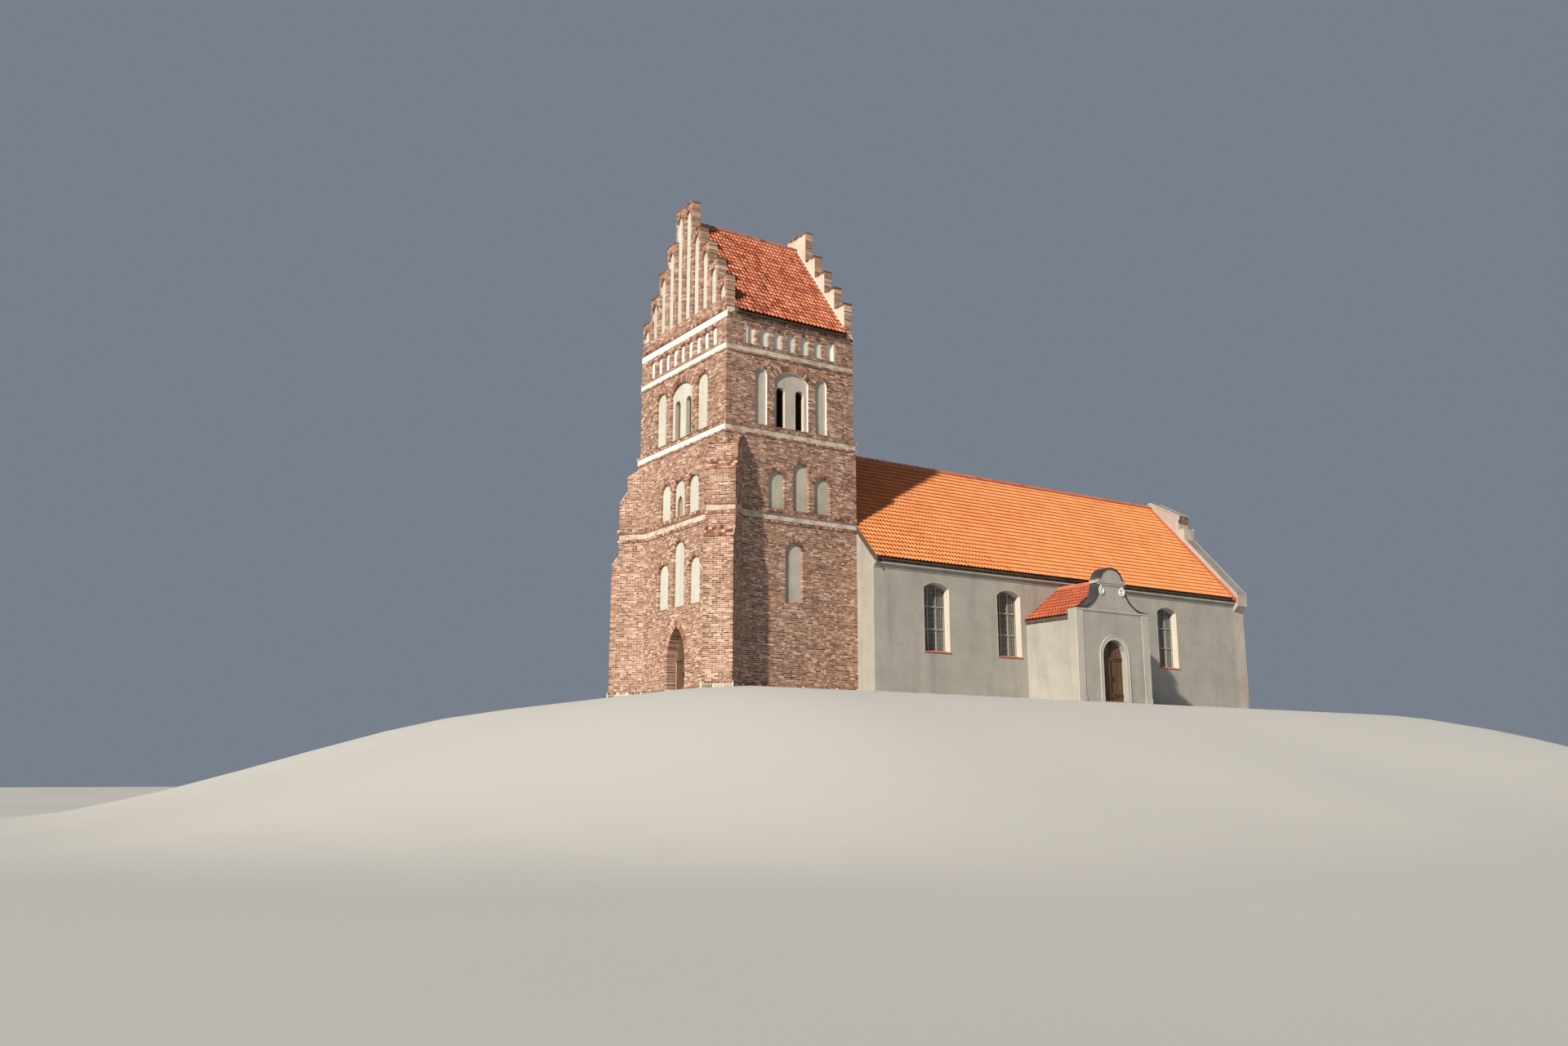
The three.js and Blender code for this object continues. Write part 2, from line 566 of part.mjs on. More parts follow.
function porchGable() {
  const hollow = arc(PORCH_HOLLOW.centre, PORCH_LEDGE.z, PORCH_HOLLOW.across, PORCH_LEDGE.z - PORCH_SHOULDER,
    -Math.PI / 2, -Math.PI);
  const ledgeTop = PORCH_LEDGE.z + PORCH_LEDGE.thick;
  const radius = (PORCH_HEAD.half ** 2 + PORCH_HEAD.rise ** 2) / (2 * PORCH_HEAD.rise);
  const spread = Math.asin(PORCH_HEAD.half / radius);
  const head = arc(0, ledgeTop + PORCH_HEAD.rise - radius, radius, radius, Math.PI / 2 - spread, Math.PI / 2);
  const half = [
    [PORCH_EAVES.half, 0], [PORCH_EAVES.half, PORCH_SHOULDER], ...hollow,
    [PORCH_LEDGE.half, PORCH_LEDGE.z], [PORCH_LEDGE.half, ledgeTop], ...head,
  ];
  const mirrored = half.slice(0, -1).map(([offset, z]) => [-offset, z]).reverse();
  const points = [...half, ...mirrored].map(([offset, z]) => [PORCH_MIDDLE + offset, z]);
  const wall = alongY(points, PORCH_FRONT, PORCH_BACK);
  const ledge = box([PORCH_MIDDLE - PORCH_LEDGE.half, PORCH_MIDDLE + PORCH_LEDGE.half],
    [PORCH_FRONT - PORCH_LEDGE.out, PORCH_BACK], [PORCH_LEDGE.z, ledgeTop]);
  const doorway = alongY(roundHead({ centre: PORCH_MIDDLE, ...DOORWAY }), PORCH_FRONT - NICHE_DEPTH, PORCH_BACK + NICHE_DEPTH);
  return cut(joined(wall, ledge), doorway);
}

// Assembly
add('tower_west_wall', towerWestWall(), brick);
add('tower_east_wall', towerEastWall(), brick);
for (const side of SIDES) {
  add(`tower_${side.name}_wall`, towerSideWall(side), brick);
  add(`tower_buttress_${side.name}west`, buttress(side), brick);
  add(`belfry_${side.name}_wall`, belfrySideWall(side), brick);
  add(`tower_roof_${side.name}`, towerRoofSlope(side), towerTile);
}
for (const end of ENDS) {
  add(`belfry_${end.name}_wall`, belfryEndWall(end), brick);
  add(`tower_${end.name}_gable`, towerGable(end), brick);
}
const towerHollow = [[LOWER_WALL, TOWER_LENGTH - LOWER_WALL], [LOWER_WALL, TOWER_WIDTH - LOWER_WALL]];
const belfryHollow = [[BELFRY_INNER, TOWER_LENGTH - BELFRY_INNER], [BELFRY_INNER, TOWER_WIDTH - BELFRY_INNER]];
add('tower_floor', box(...towerHollow, [0, FLOOR]), stone);
add('belfry_floor', box(...belfryHollow, [LOWER_TOP, LOWER_TOP + BELFRY_FLOOR]), boards);
const towerRidge = alongX(ridgeRun(TOWER_RIDGE, towerSlope, RIDGE_TILE).map(([y, z]) => [MIDDLE + y, z]),
  BELFRY_SETBACK + GABLE_WALL + GAP, TOWER_LENGTH - BELFRY_SETBACK - GABLE_WALL - GAP);
add('tower_roof_ridge', towerRidge, towerTile);
const portalLeaf = pointedHead({ centre: MIDDLE, ...PORTAL }, GAP);
add('tower_west_door', alongX(portalLeaf, 2 * DOOR_SETBACK, 2 * DOOR_SETBACK + DOOR_LEAF), oak);

add('nave_west_gable', naveWestGable(), plaster);
add('nave_east_gable', naveEastGable(), creamPlaster);
for (const side of SIDES) {
  add(`nave_${side.name}_wall`, naveSideWall(side), plaster);
  add(`nave_${side.name}_cornice`, naveCornice(side), plaster);
  add(`nave_roof_${side.name}`, naveRoofSlope(side), naveTile);
  NAVE_WINDOWS.forEach((centre, index) => {
    const middle = (NAVE_OUTER + NAVE_INNER) / 2;
    const pane = alongY(roundHead({ centre, ...WINDOW }, GAP), side.y(middle), side.y(middle + GLASS));
    add(`nave_window_${side.name}_${index + 1}`, pane, glass);
  });
}
const naveRidge = alongX(ridgeRun(NAVE_RIDGE, naveSlope, RIDGE_TILE).map(([y, z]) => [MIDDLE + y, z]),
  TOWER_LENGTH + GAP, NAVE_END - GAP);
add('nave_roof_ridge', naveRidge, naveTile);
const eastMiddle = NAVE_END + EAST_GABLE_WALL / 2;
add('nave_window_east', alongX(roundHead({ centre: MIDDLE, ...WINDOW }, GAP), eastMiddle, eastMiddle + GLASS), glass);
add('nave_floor', box([TOWER_LENGTH + NAVE_WEST_WALL, NAVE_END], [NAVE_INNER, TOWER_WIDTH - NAVE_INNER], [0, FLOOR]), stone);

add('porch_west_wall', porchSideWall(-1), plaster);
add('porch_east_wall', porchSideWall(1), plaster);
add('porch_gable', porchGable(), plaster);
add('porch_roof_west', porchRoofSlope(-1), naveTile);
add('porch_roof_east', porchRoofSlope(1), naveTile);
const porchInside = PORCH_HALF - PORCH_WALL;
add('porch_floor', box([PORCH_MIDDLE - porchInside, PORCH_MIDDLE + porchInside], [PORCH_BACK, NAVE_OUTER], [0, FLOOR]), stone);
const porchLeaf = roundHead({ centre: PORCH_MIDDLE, ...DOORWAY }, GAP);
add('porch_door', alongY(porchLeaf, PORCH_FRONT + DOOR_SETBACK, PORCH_FRONT + DOOR_SETBACK + DOOR_LEAF), oak);

// The part's own frame has its origin below the middle of the whole, on the ground.
const bounds = new THREE.Box3().setFromObject(church);
const centre = bounds.getCenter(new THREE.Vector3());
church.position.set(-centre.x, -centre.y, 0);

export default church;
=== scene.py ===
import math

import bpy
import numpy as np
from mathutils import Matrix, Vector
from mathutils.geometry import tessellate_polygon


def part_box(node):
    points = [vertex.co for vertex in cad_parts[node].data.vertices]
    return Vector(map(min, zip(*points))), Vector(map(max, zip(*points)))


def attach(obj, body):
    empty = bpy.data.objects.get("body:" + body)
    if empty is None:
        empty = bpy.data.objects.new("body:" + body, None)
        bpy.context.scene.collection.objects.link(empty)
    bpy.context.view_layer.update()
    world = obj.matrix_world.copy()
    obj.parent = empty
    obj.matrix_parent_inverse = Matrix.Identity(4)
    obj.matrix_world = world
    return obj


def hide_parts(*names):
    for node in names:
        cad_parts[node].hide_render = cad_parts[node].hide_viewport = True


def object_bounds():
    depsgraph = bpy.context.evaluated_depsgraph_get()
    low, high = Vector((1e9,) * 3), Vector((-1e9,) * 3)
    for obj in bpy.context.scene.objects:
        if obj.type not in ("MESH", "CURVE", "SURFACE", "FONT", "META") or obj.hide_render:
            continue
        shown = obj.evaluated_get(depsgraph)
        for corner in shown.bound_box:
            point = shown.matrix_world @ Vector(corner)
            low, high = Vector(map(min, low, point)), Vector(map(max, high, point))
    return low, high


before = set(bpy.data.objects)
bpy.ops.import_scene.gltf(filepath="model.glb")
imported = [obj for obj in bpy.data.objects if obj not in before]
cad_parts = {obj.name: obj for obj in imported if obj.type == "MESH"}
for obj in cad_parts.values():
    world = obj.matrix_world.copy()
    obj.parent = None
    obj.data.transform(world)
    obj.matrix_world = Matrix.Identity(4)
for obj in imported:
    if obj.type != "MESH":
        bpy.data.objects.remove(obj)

CAD_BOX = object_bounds()
RANDOM = np.random.default_rng(1407)
FLOOR_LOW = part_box("nave_floor")[0]
SHIFT = np.array([FLOOR_LOW.x - 7.46, FLOOR_LOW.y + 0.4, 0.0])

# The building's main lines, as in the solids
LENGTH, WIDTH, MIDDLE = 6.86, 8.0, 4.0
SETBACK = 0.08
PLINTH_TOP, LOWER_TOP, BELFRY_TOP = 0.6, 11.2, 16.65
BUTTRESS_HALF = 0.62
BUTTRESS_STAGES = [(0.95, 0.0, 6.5, 6.95), (0.63, 6.95, 9.4, 9.9), (0.28, 9.9, 10.6, 11.15)]
TOWER_RIDGE, TOWER_EAVES, TOWER_SLOPE = 22.2, -0.25, (22.2 - 0.36 - 16.65) / 3.92
GABLE_WALL, GABLE_STEP = 0.4, 0.784
# Each step of the tower's gables has half its width and its top
GABLE_STEPS = [(5 * GABLE_STEP, 18.3), (4 * GABLE_STEP, 19.35), (3 * GABLE_STEP, 20.4),
               (2 * GABLE_STEP, 21.45), (GABLE_STEP, 22.95)]
NAVE_END, NAVE_OUTER = 31.3, -1.2
EAST_FACE = NAVE_END + 0.8
NAVE_EAVES_Y, NAVE_EAVES_Z, NAVE_RIDGE = -1.5, 6.2, 12.2
NAVE_SLOPE = (NAVE_RIDGE - NAVE_EAVES_Z) / (MIDDLE - NAVE_EAVES_Y)
NAVE_WINDOWS = [10.4, 14.8, 21.44, 25.84]
PORCH_MIDDLE, PORCH_HALF, PORCH_FRONT, PORCH_BACK = 18.12, 2.22, -4.5, -4.0
PORCH_EAVES, PORCH_EAVES_Z, PORCH_RIDGE = 2.38, 4.05, 5.75

COURSE, BED, JOINT = 0.0785, 0.018, 0.014
STRETCHER, HEADER = 0.256, 0.1225
NICHE_DEPTH = 0.12
SHALLOW = 0.03


# Mesh making
CELL = [(0, 0, 0), (1, 0, 0), (1, 1, 0), (0, 1, 0), (0, 0, 1), (1, 0, 1), (1, 1, 1), (0, 1, 1)]
CELL_SIDES = np.array([(0, 3, 2, 1), (4, 5, 6, 7), (0, 1, 5, 4), (1, 2, 6, 5), (2, 3, 7, 6), (3, 0, 4, 7)])


def stretches_of(values):
    return list(zip(values[:-1], values[1:]))


def divided(low, high, number):
    """The stretches from low to high, cut into a number of equal ones."""
    return stretches_of(np.linspace(low, high, number + 1))


def signed_area(loop):
    u, z = np.asarray(loop, float).T
    return 0.5 * np.sum(u * np.roll(z, -1) - np.roll(u, -1) * z)


class Face:
    """A wall plane: u runs along it, n stands out from it, z runs up."""

    def __init__(self, origin, along, out, up=(0, 0, 1)):
        self.origin = np.array(origin, float)
        self.axes = np.array([along, out, up], float)
        self.turned = np.linalg.det(self.axes) < 0

    def place(self, points):
        return self.origin + np.asarray(points, float) @ self.axes

    def place_loop(self, loop, depth):
        """Places a flat loop, given by u and z, at a distance n off the wall."""
        return self.place([(u, depth, z) for u, z in loop])


PLAN = Face((0, 0, 0), (1, 0, 0), (0, 1, 0))


class Heap:
    """Gathers closed solids for one piece, with a tone for each face."""

    def __init__(self):
        self.verts, self.loops, self.sizes, self.tones = [], [], [], []
        self.count = 0

    def add(self, verts, groups, tone=0.5, turned=False):
        """Adds points and the faces on them, in groups that have one number of corners each."""
        for faces in groups:
            faces = np.asarray(faces)
            self.loops.append((faces[:, ::-1] if turned else faces).ravel() + self.count)
            self.sizes.append(np.full(len(faces), faces.shape[1]))
            self.tones.append(np.broadcast_to(tone, (len(faces),)))
        self.verts.append(verts)
        self.count += len(verts)

    def solids(self, face, corners, tone=0.5):
        """Six-sided solids, each of eight corners ordered as CELL."""
        corners = np.reshape(corners, (-1, 3))
        number = len(corners) // 8
        sides = (CELL_SIDES + 8 * np.arange(number)[:, None, None]).reshape(-1, 4)
        self.add(face.place(corners), [sides], np.repeat(np.broadcast_to(tone, (number,)), 6), face.turned)

    def boxes(self, face, us, ns, zs, tone=0.5):
        """Boxes between two values of u, of n and of z, each one number or a list with one for each box."""
        ends = [np.column_stack(np.broadcast_arrays(*values)) for values in zip(us, ns, zs)]
        low, high = np.minimum(*ends), np.maximum(*ends)
        self.solids(face, low[:, None] + np.array(CELL) * (high - low)[:, None], tone)

    def plate(self, face, loops, back, front, tone=0.5):
        """A flat plate in the face's u and z: the first loop is its outline, the others are holes."""
        loops = [np.asarray(loop, float) for loop in loops]
        loops = [loop if (signed_area(loop) > 0) == (k == 0) else loop[::-1] for k, loop in enumerate(loops)]
        flat = np.concatenate(loops)
        number = len(flat)
        triangles = np.array(tessellate_polygon([[Vector((u, z, 0)) for u, z in loop] for loop in loops]))
        a, b, c = (flat[triangles[:, k]] for k in range(3))
        area = (b[:, 0] - a[:, 0]) * (c[:, 1] - a[:, 1]) - (b[:, 1] - a[:, 1]) * (c[:, 0] - a[:, 0])
        triangles = np.where((area > 0)[:, None], triangles, triangles[:, ::-1])
        sides = []
        start = 0
        for loop in loops:
            here = start + np.arange(len(loop))
            after = start + np.roll(np.arange(len(loop)), -1)
            sides.append(np.column_stack([here, here + number, after + number, after]))
            start += len(loop)
        points = np.concatenate([face.place_loop(flat, back), face.place_loop(flat, front)])
        groups = [np.concatenate([triangles, triangles[:, ::-1] + number]), np.concatenate(sides)]
        self.add(points, groups, tone, face.turned)

    def sweep(self, rings, tone=0.5, closed=False, turned=False):
        """A tube through rings of points, each of the same number, capped at its ends or closed on itself."""
        rings = np.asarray(rings, float)
        count, number = rings.shape[:2]
        here = np.arange(number)
        after = np.roll(here, -1)
        quads = []
        for k in range(count if closed else count - 1):
            near, far = k * number, (k + 1) % count * number
            quads.append(np.column_stack([here + near, after + near, after + far, here + far]))
        caps = [] if closed else [[here[::-1]], [here + (count - 1) * number]]
        self.add(rings.reshape(-1, 3), [np.concatenate(quads), *caps], tone, turned)

    def band(self, face, outer, inner, back, front):
        """A closed band between two loops of the same number of points."""
        if signed_area(outer) < 0:
            outer, inner = outer[::-1], inner[::-1]
        sections = ((outer, back), (outer, front), (inner, front), (inner, back))
        rings = [face.place_loop(loop, depth) for loop, depth in sections]
        self.sweep(rings, closed=True, turned=not face.turned)


def piece(name, heap, material, hides=(), smooth=None):
    """One object of the visual model from a heap. smooth is the angle below which faces are shaded as one."""
    sizes = np.concatenate(heap.sizes)
    mesh = bpy.data.meshes.new(name)
    mesh.vertices.add(heap.count)
    mesh.vertices.foreach_set("co", (np.concatenate(heap.verts) + SHIFT).astype(np.float32).ravel())
    mesh.loops.add(sizes.sum())
    mesh.loops.foreach_set("vertex_index", np.concatenate(heap.loops).astype(np.int32))
    mesh.polygons.add(len(sizes))
    mesh.polygons.foreach_set("loop_start", (np.cumsum(sizes) - sizes).astype(np.int32))
    mesh.update(calc_edges=True)
    tones = mesh.attributes.new("tone", "FLOAT", "FACE")
    tones.data.foreach_set("value", np.concatenate(heap.tones).astype(np.float32))
    mesh.polygons.foreach_set("use_smooth", np.full(len(sizes), smooth is not None))
    if smooth is not None:
        mesh.set_sharp_from_angle(angle=math.radians(smooth))
    mesh.materials.append(material)
    thing = bpy.data.objects.new(name, mesh)
    bpy.context.scene.collection.objects.link(thing)
    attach(thing, "root")
    if hides:
        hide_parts(*hides)


# Materials
class Finish:
    """Builds a procedural material on the object's own coordinates."""

    def __init__(self, name, roughness=0.85, metallic=0.0, specular=0.3):
        self.material = bpy.data.materials.new(name)
        self.material.use_nodes = True
        self.tree = self.material.node_tree
        self.shader = self.tree.nodes["Principled BSDF"].inputs
        self.shader["Roughness"].default_value = roughness
        self.shader["Metallic"].default_value = metallic
        self.shader["Specular IOR Level"].default_value = specular
        self.place = self.tree.nodes.new("ShaderNodeTexCoord").outputs["Object"]

    def node(self, kind, inputs=(), **values):
        """A node with its settings, whose inputs are linked to outputs or set to values or colours."""
        made = self.tree.nodes.new(kind)
        for key, value in values.items():
            setattr(made, key, value)
        for key, source in dict(inputs).items():
            socket = made.inputs[key]
            if isinstance(source, bpy.types.NodeSocket):
                self.tree.links.new(source, socket)
            else:
                socket.default_value = (*source[:3], 1.0) if socket.type == "RGBA" else source
        return made

    def tone(self):
        return self.node("ShaderNodeAttribute", attribute_name="tone").outputs["Fac"]

    def noise(self, scale, detail=4.0, rough=0.55, stretch=None, twist=0.0):
        place = self.place
        if stretch:
            place = self.node("ShaderNodeMapping", {"Vector": place, "Scale": stretch}).outputs["Vector"]
        links = {"Vector": place, "Scale": scale, "Detail": detail, "Roughness": rough, "Distortion": twist}
        return self.node("ShaderNodeTexNoise", links).outputs["Fac"]

    def spots(self, low, high, *noise):
        """Spots where a noise passes from low to high."""
        links = {"Value": self.noise(*noise), "From Min": low, "From Max": high}
        return self.node("ShaderNodeMapRange", links).outputs["Result"]

    def maths(self, operation, first, second=0.0):
        return self.node("ShaderNodeMath", {0: first, 1: second}, operation=operation).outputs["Value"]

    def ramp(self, value, stops):
        made = self.node("ShaderNodeValToRGB", {"Fac": value})
        elements = made.color_ramp.elements
        while len(elements) < len(stops):
            elements.new(0.5)
        for element, (place, colour) in zip(elements, stops):
            element.position = place
            element.color = (*colour, 1.0)
        return made.outputs["Color"]

    def mix(self, factor, first, second, blend="MIX"):
        links = {0: factor, 6: first, 7: second}
        return self.node("ShaderNodeMix", links, data_type="RGBA", blend_type=blend).outputs[2]

    def over(self, body, mask, amount, colour, blend="MIX"):
        """The body colour with another over it where a mask says so."""
        return self.mix(self.maths("MULTIPLY", mask, amount), body, colour, blend)

    def grained(self, body, grain, amount, dark, pale, spread=0.2):
        stops = [(0.5 - spread, dark), (0.5 + spread, pale)]
        return self.mix(amount, body, self.ramp(grain, stops), "OVERLAY")

    def finished(self, body, grain=None, smoothest=0.0, roughest=1.0, *bumps):
        """Sets the colour, the roughness along a grain, and bumps by their value, strength and depth."""
        self.tree.links.new(body, self.shader["Base Color"])
        if grain:
            rough = self.node("ShaderNodeMapRange", {"Value": grain, "To Min": smoothest, "To Max": roughest})
            self.tree.links.new(rough.outputs["Result"], self.shader["Roughness"])
        below = {}
        for value, strength, depth in bumps:
            links = {"Height": value, "Strength": strength, "Distance": depth, **below}
            below = {"Normal": self.node("ShaderNodeBump", links).outputs["Normal"]}
        if below:
            self.tree.links.new(below["Normal"], self.shader["Normal"])
        return self.material


def grey(value):
    return (value, value, value)


def brick_finish(name, burnt, middle, pale, lime):
    made = Finish(name, specular=0.25)
    grain = made.noise(38.0, 5.0)
    body = made.ramp(made.tone(), [(0.0, burnt), (0.3, middle), (0.62, pale), (1.0, lime)])
    body = made.over(body, made.spots(0.45, 0.7, 0.42, 4.0), 0.5, (0.78, 0.66, 0.6), "MULTIPLY")
    body = made.grained(body, grain, 0.4, (0.36, 0.33, 0.3), (0.72, 0.68, 0.64))
    body = made.over(body, made.spots(0.54, 0.74, 3.2, 7.0, 0.75), 0.55, (0.6, 0.5, 0.41))
    body = made.over(body, made.spots(0.58, 0.8, 1.3, 6.0, 0.7, (0.9, 0.9, 0.4)), 0.55, (0.1, 0.075, 0.06))
    return made.finished(body, grain, 0.78, 0.95, (grain, 0.5, 0.004), (made.noise(9.0, 3.0), 0.4, 0.01))


def mortar_finish(name, pale, dark, room=None):
    """Lime mortar. Inside a room, given by its low and high X and Y, it is painted near black as painted
    shade.
    """
    made = Finish(name)
    grain = made.noise(60.0, 5.0, 0.65)
    body = made.ramp(made.noise(0.8, 5.0, 0.6), [(0.3, dark), (0.65, pale)])
    body = made.grained(body, grain, 0.3, (0.3, 0.28, 0.25), (0.75, 0.7, 0.62))
    if room:
        axes = made.node("ShaderNodeSeparateXYZ", {"Vector": made.place}).outputs
        inside = 1.0
        for axis, (low, high) in zip("XY", room):
            off = made.maths("ABSOLUTE", made.maths("SUBTRACT", axes[axis], (low + high) / 2))
            inside = made.maths("MULTIPLY", made.maths("LESS_THAN", off, (high - low) / 2), inside)
        # painted shade: inside the room the mortar is mixed to near black
        body = made.mix(inside, body, (0.03, 0.026, 0.023))
    return made.finished(body, grain, 0.85, 0.98, (grain, 0.6, 0.004))


def plaster_finish(name, body, stain, patch, streak=0.45, dirt=0.55, bare=None):
    """Old lime plaster: cloudy, with rain streaks and stained spots, and worn through to a bare colour."""
    made = Finish(name)
    tone = made.mix(made.spots(0.32, 0.7, 0.7, 6.0, 0.62), patch, body)
    tone = made.over(tone, made.spots(0.5, 0.78, 1.6, 5.0, 0.6, (1.0, 1.0, 0.12)), streak, stain)
    spots = made.spots(0.58, 0.72, 3.4, 7.0, 0.72)
    tone = made.over(tone, spots, dirt, stain)
    fine = made.noise(45.0, 5.0, 0.6)
    tone = made.grained(tone, fine, 0.25, grey(0.4), grey(0.66))
    bumps = [(fine, 0.35, 0.003), (made.noise(5.0, 4.0), 0.5, 0.012), (spots, -0.4, 0.004)]
    if bare:
        worn = made.spots(0.5, 0.56, 2.6, 8.0, 0.72, (1.0, 1.0, 1.6))
        tone = made.over(tone, worn, 0.85, bare)
        bumps.insert(0, (worn, -0.7, 0.006))
    return made.finished(tone, fine, 0.84, 0.97, *bumps)


def tile_finish(name, dark, middle, pale, moss=0.25):
    """Burnt clay tiles. A tile's lower edge is marked by a tone of -1, and is darkened as painted shade, with
    some dirt.
    """
    made = Finish(name, specular=0.35)
    tone = made.tone()
    body = made.ramp(tone, [(0.0, dark), (0.35, middle), (1.0, pale)])
    body = made.over(body, made.spots(0.45, 0.8, 0.55, 4.0, 0.6), 0.35, dark)
    grain = made.noise(70.0, 4.0)
    body = made.grained(body, grain, 0.22, (0.42, 0.36, 0.32), (0.66, 0.6, 0.56))
    body = made.over(body, made.spots(0.62, 0.78, 4.5, 7.0, 0.75), moss, (0.16, 0.12, 0.075))
    # painted shade: faces with a tone under -0.5 take 0.3 of the dark colour
    body = made.mix(made.maths("LESS_THAN", tone, -0.5), body, [0.3 * value for value in dark])
    return made.finished(body, grain, 0.55, 0.78, (grain, 0.25, 0.002))


def wood_finish(name, dark, pale, stretch):
    made = Finish(name, specular=0.3)
    fine = made.noise(55.0, 4.0, 0.6, stretch)
    body = made.ramp(made.noise(9.0, 6.0, 0.6, stretch, 0.4), [(0.28, dark), (0.72, pale)])
    body = made.over(body, made.tone(), 0.35, dark)
    body = made.grained(body, fine, 0.4, grey(0.3), grey(0.7), 0.15)
    return made.finished(body, fine, 0.6, 0.85, (fine, 0.5, 0.003))


def stone_finish(name, stops, joint=None):
    made = Finish(name)
    cells = made.maths("MULTIPLY", made.noise(2.4, 6.0, 0.65), 0.5)
    speck = made.noise(80.0, 3.0, 0.7)
    body = made.ramp(made.maths("ADD", made.maths("MULTIPLY", made.tone(), 0.5), cells), stops)
    bumps = [(speck, 0.4, 0.004)]
    if joint:
        slab = {"Vector": made.place, "Scale": 1.0, "Mortar Size": 0.012, "Brick Width": 0.6,
                "Row Height": 0.6}
        slabs = made.node("ShaderNodeTexBrick", slab).outputs["Fac"]
        body = made.mix(slabs, body, joint)
        bumps.insert(0, (slabs, -0.6, 0.006))
    body = made.grained(body, speck, 0.4, grey(0.3), grey(0.72), 0.15)
    return made.finished(body, speck, 0.75, 0.95, *bumps)


def metal_finish(name, dark, pale, roughness=(0.35, 0.7), metallic=0.85):
    made = Finish(name, metallic=metallic, specular=0.5)
    cloud = made.noise(6.0, 6.0, 0.65)
    body = made.ramp(cloud, [(0.3, dark), (0.7, pale)])
    return made.finished(body, cloud, *roughness, (made.noise(30.0, 4.0), 0.25, 0.002))


def glass_finish(name):
    """Small leaded panes in a dull lead lattice, each a little different, near black as painted shade of the
    dark inside.
    """
    made = Finish(name, roughness=0.12, specular=0.6)
    upright = made.node("ShaderNodeMapping", {"Vector": made.place, "Rotation": (math.pi / 2, 0, 0)})
    # The panes' near-black colours are painted shade of the dark inside
    lattice = {"Vector": upright.outputs["Vector"], "Scale": 1.0, "Mortar Size": 0.008, "Brick Width": 0.15,
               "Row Height": 0.2, "Color1": (0.02, 0.03, 0.035), "Color2": (0.05, 0.065, 0.07),
               "Mortar": (0.06, 0.06, 0.065)}
    panes = made.node("ShaderNodeTexBrick", lattice, offset=0.0, squash=1.0).outputs
    dust = made.noise(3.0, 5.0)
    body = made.over(panes["Color"], dust, 0.25, (0.25, 0.26, 0.25))
    bumps = [(made.noise(7.0, 2.0), 0.25, 0.006), (panes["Fac"], 0.5, 0.005)]
    return made.finished(body, dust, 0.08, 0.3, *bumps)


BRICK = brick_finish("brick", (0.09, 0.042, 0.031), (0.222, 0.104, 0.069), (0.33, 0.177, 0.125),
                     (0.575, 0.42, 0.345))
LIMED_BRICK = brick_finish("limed_brick", (0.28, 0.19, 0.15), (0.42, 0.29, 0.23), (0.54, 0.41, 0.34),
                           (0.66, 0.56, 0.48))
DARK_BRICK = brick_finish("dark_brick", (0.07, 0.042, 0.034), (0.15, 0.08, 0.058), (0.26, 0.145, 0.105),
                          (0.36, 0.25, 0.2))
BELFRY_LOW, BELFRY_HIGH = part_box("belfry_floor")
ROOM = [(BELFRY_LOW.x - 0.05, BELFRY_HIGH.x + 0.05), (BELFRY_LOW.y - 0.05, BELFRY_HIGH.y + 0.05)]
LIME_COLOURS = (0.76, 0.67, 0.57), (0.54, 0.455, 0.38)
MORTAR = mortar_finish("mortar", *LIME_COLOURS)
# The belfry's mortar is near black inside the belfry room: painted shade
BELFRY_MORTAR = mortar_finish("belfry_mortar", *LIME_COLOURS, ROOM)
RIDGE_MORTAR = mortar_finish("ridge_mortar", (0.44, 0.22, 0.14), (0.27, 0.13, 0.085))
DIRT = mortar_finish("ledge_dirt", (0.09, 0.065, 0.05), (0.04, 0.03, 0.024))
# Near-black plaster for the deep part of the belfry lancets' linings: painted shade
LINING_SHADE = mortar_finish("painted_shade_lining", (0.045, 0.038, 0.032), (0.02, 0.018, 0.016))
# A plaster has its own colour, those of stains and patches, how far streaks and dirt show, and a bare colour
CREAM = plaster_finish("cream_plaster", (0.62, 0.57, 0.5), (0.33, 0.29, 0.24), (0.53, 0.47, 0.4), 0.4, 0.45)
NICHE = plaster_finish("niche_plaster", (0.54, 0.565, 0.51), (0.28, 0.26, 0.21), (0.48, 0.46, 0.4), 0.45,
                       0.45)
# Plaster of the niches off the west face: darker than the west niches', partly dirt, partly painted shade
SIDE_NICHE = plaster_finish("side_niche_plaster", (0.48, 0.45, 0.395), (0.2, 0.18, 0.145),
                            (0.37, 0.335, 0.28), 0.6, 0.6)
BACK = plaster_finish("lancet_plaster", (0.36, 0.28, 0.205), (0.2, 0.15, 0.11), (0.32, 0.25, 0.185), 0.5, 0.5)
# Plaster of the belfry friezes off the west face: darker than the west's limewash, partly wear and dirt,
# partly painted shade
FRIEZE = plaster_finish("frieze_plaster", (0.6, 0.56, 0.5), (0.3, 0.26, 0.22), (0.47, 0.4, 0.33), 0.5, 0.6,
                        (0.36, 0.24, 0.18))
WORN = plaster_finish("worn_plaster", (0.63, 0.6, 0.55), (0.34, 0.29, 0.25), (0.54, 0.48, 0.42), 0.4, 0.5,
                      (0.42, 0.28, 0.21))
GREY = plaster_finish("grey_plaster", (0.4, 0.385, 0.35), (0.19, 0.185, 0.17), (0.32, 0.31, 0.28), 0.5, 0.5)
TRIM = plaster_finish("trim_plaster", (0.5, 0.48, 0.44), (0.26, 0.25, 0.22), (0.42, 0.4, 0.36), 0.45, 0.45)
PINK = plaster_finish("pink_plaster", (0.47, 0.44, 0.4), (0.24, 0.195, 0.165), (0.38, 0.31, 0.265), 0.75, 0.6)
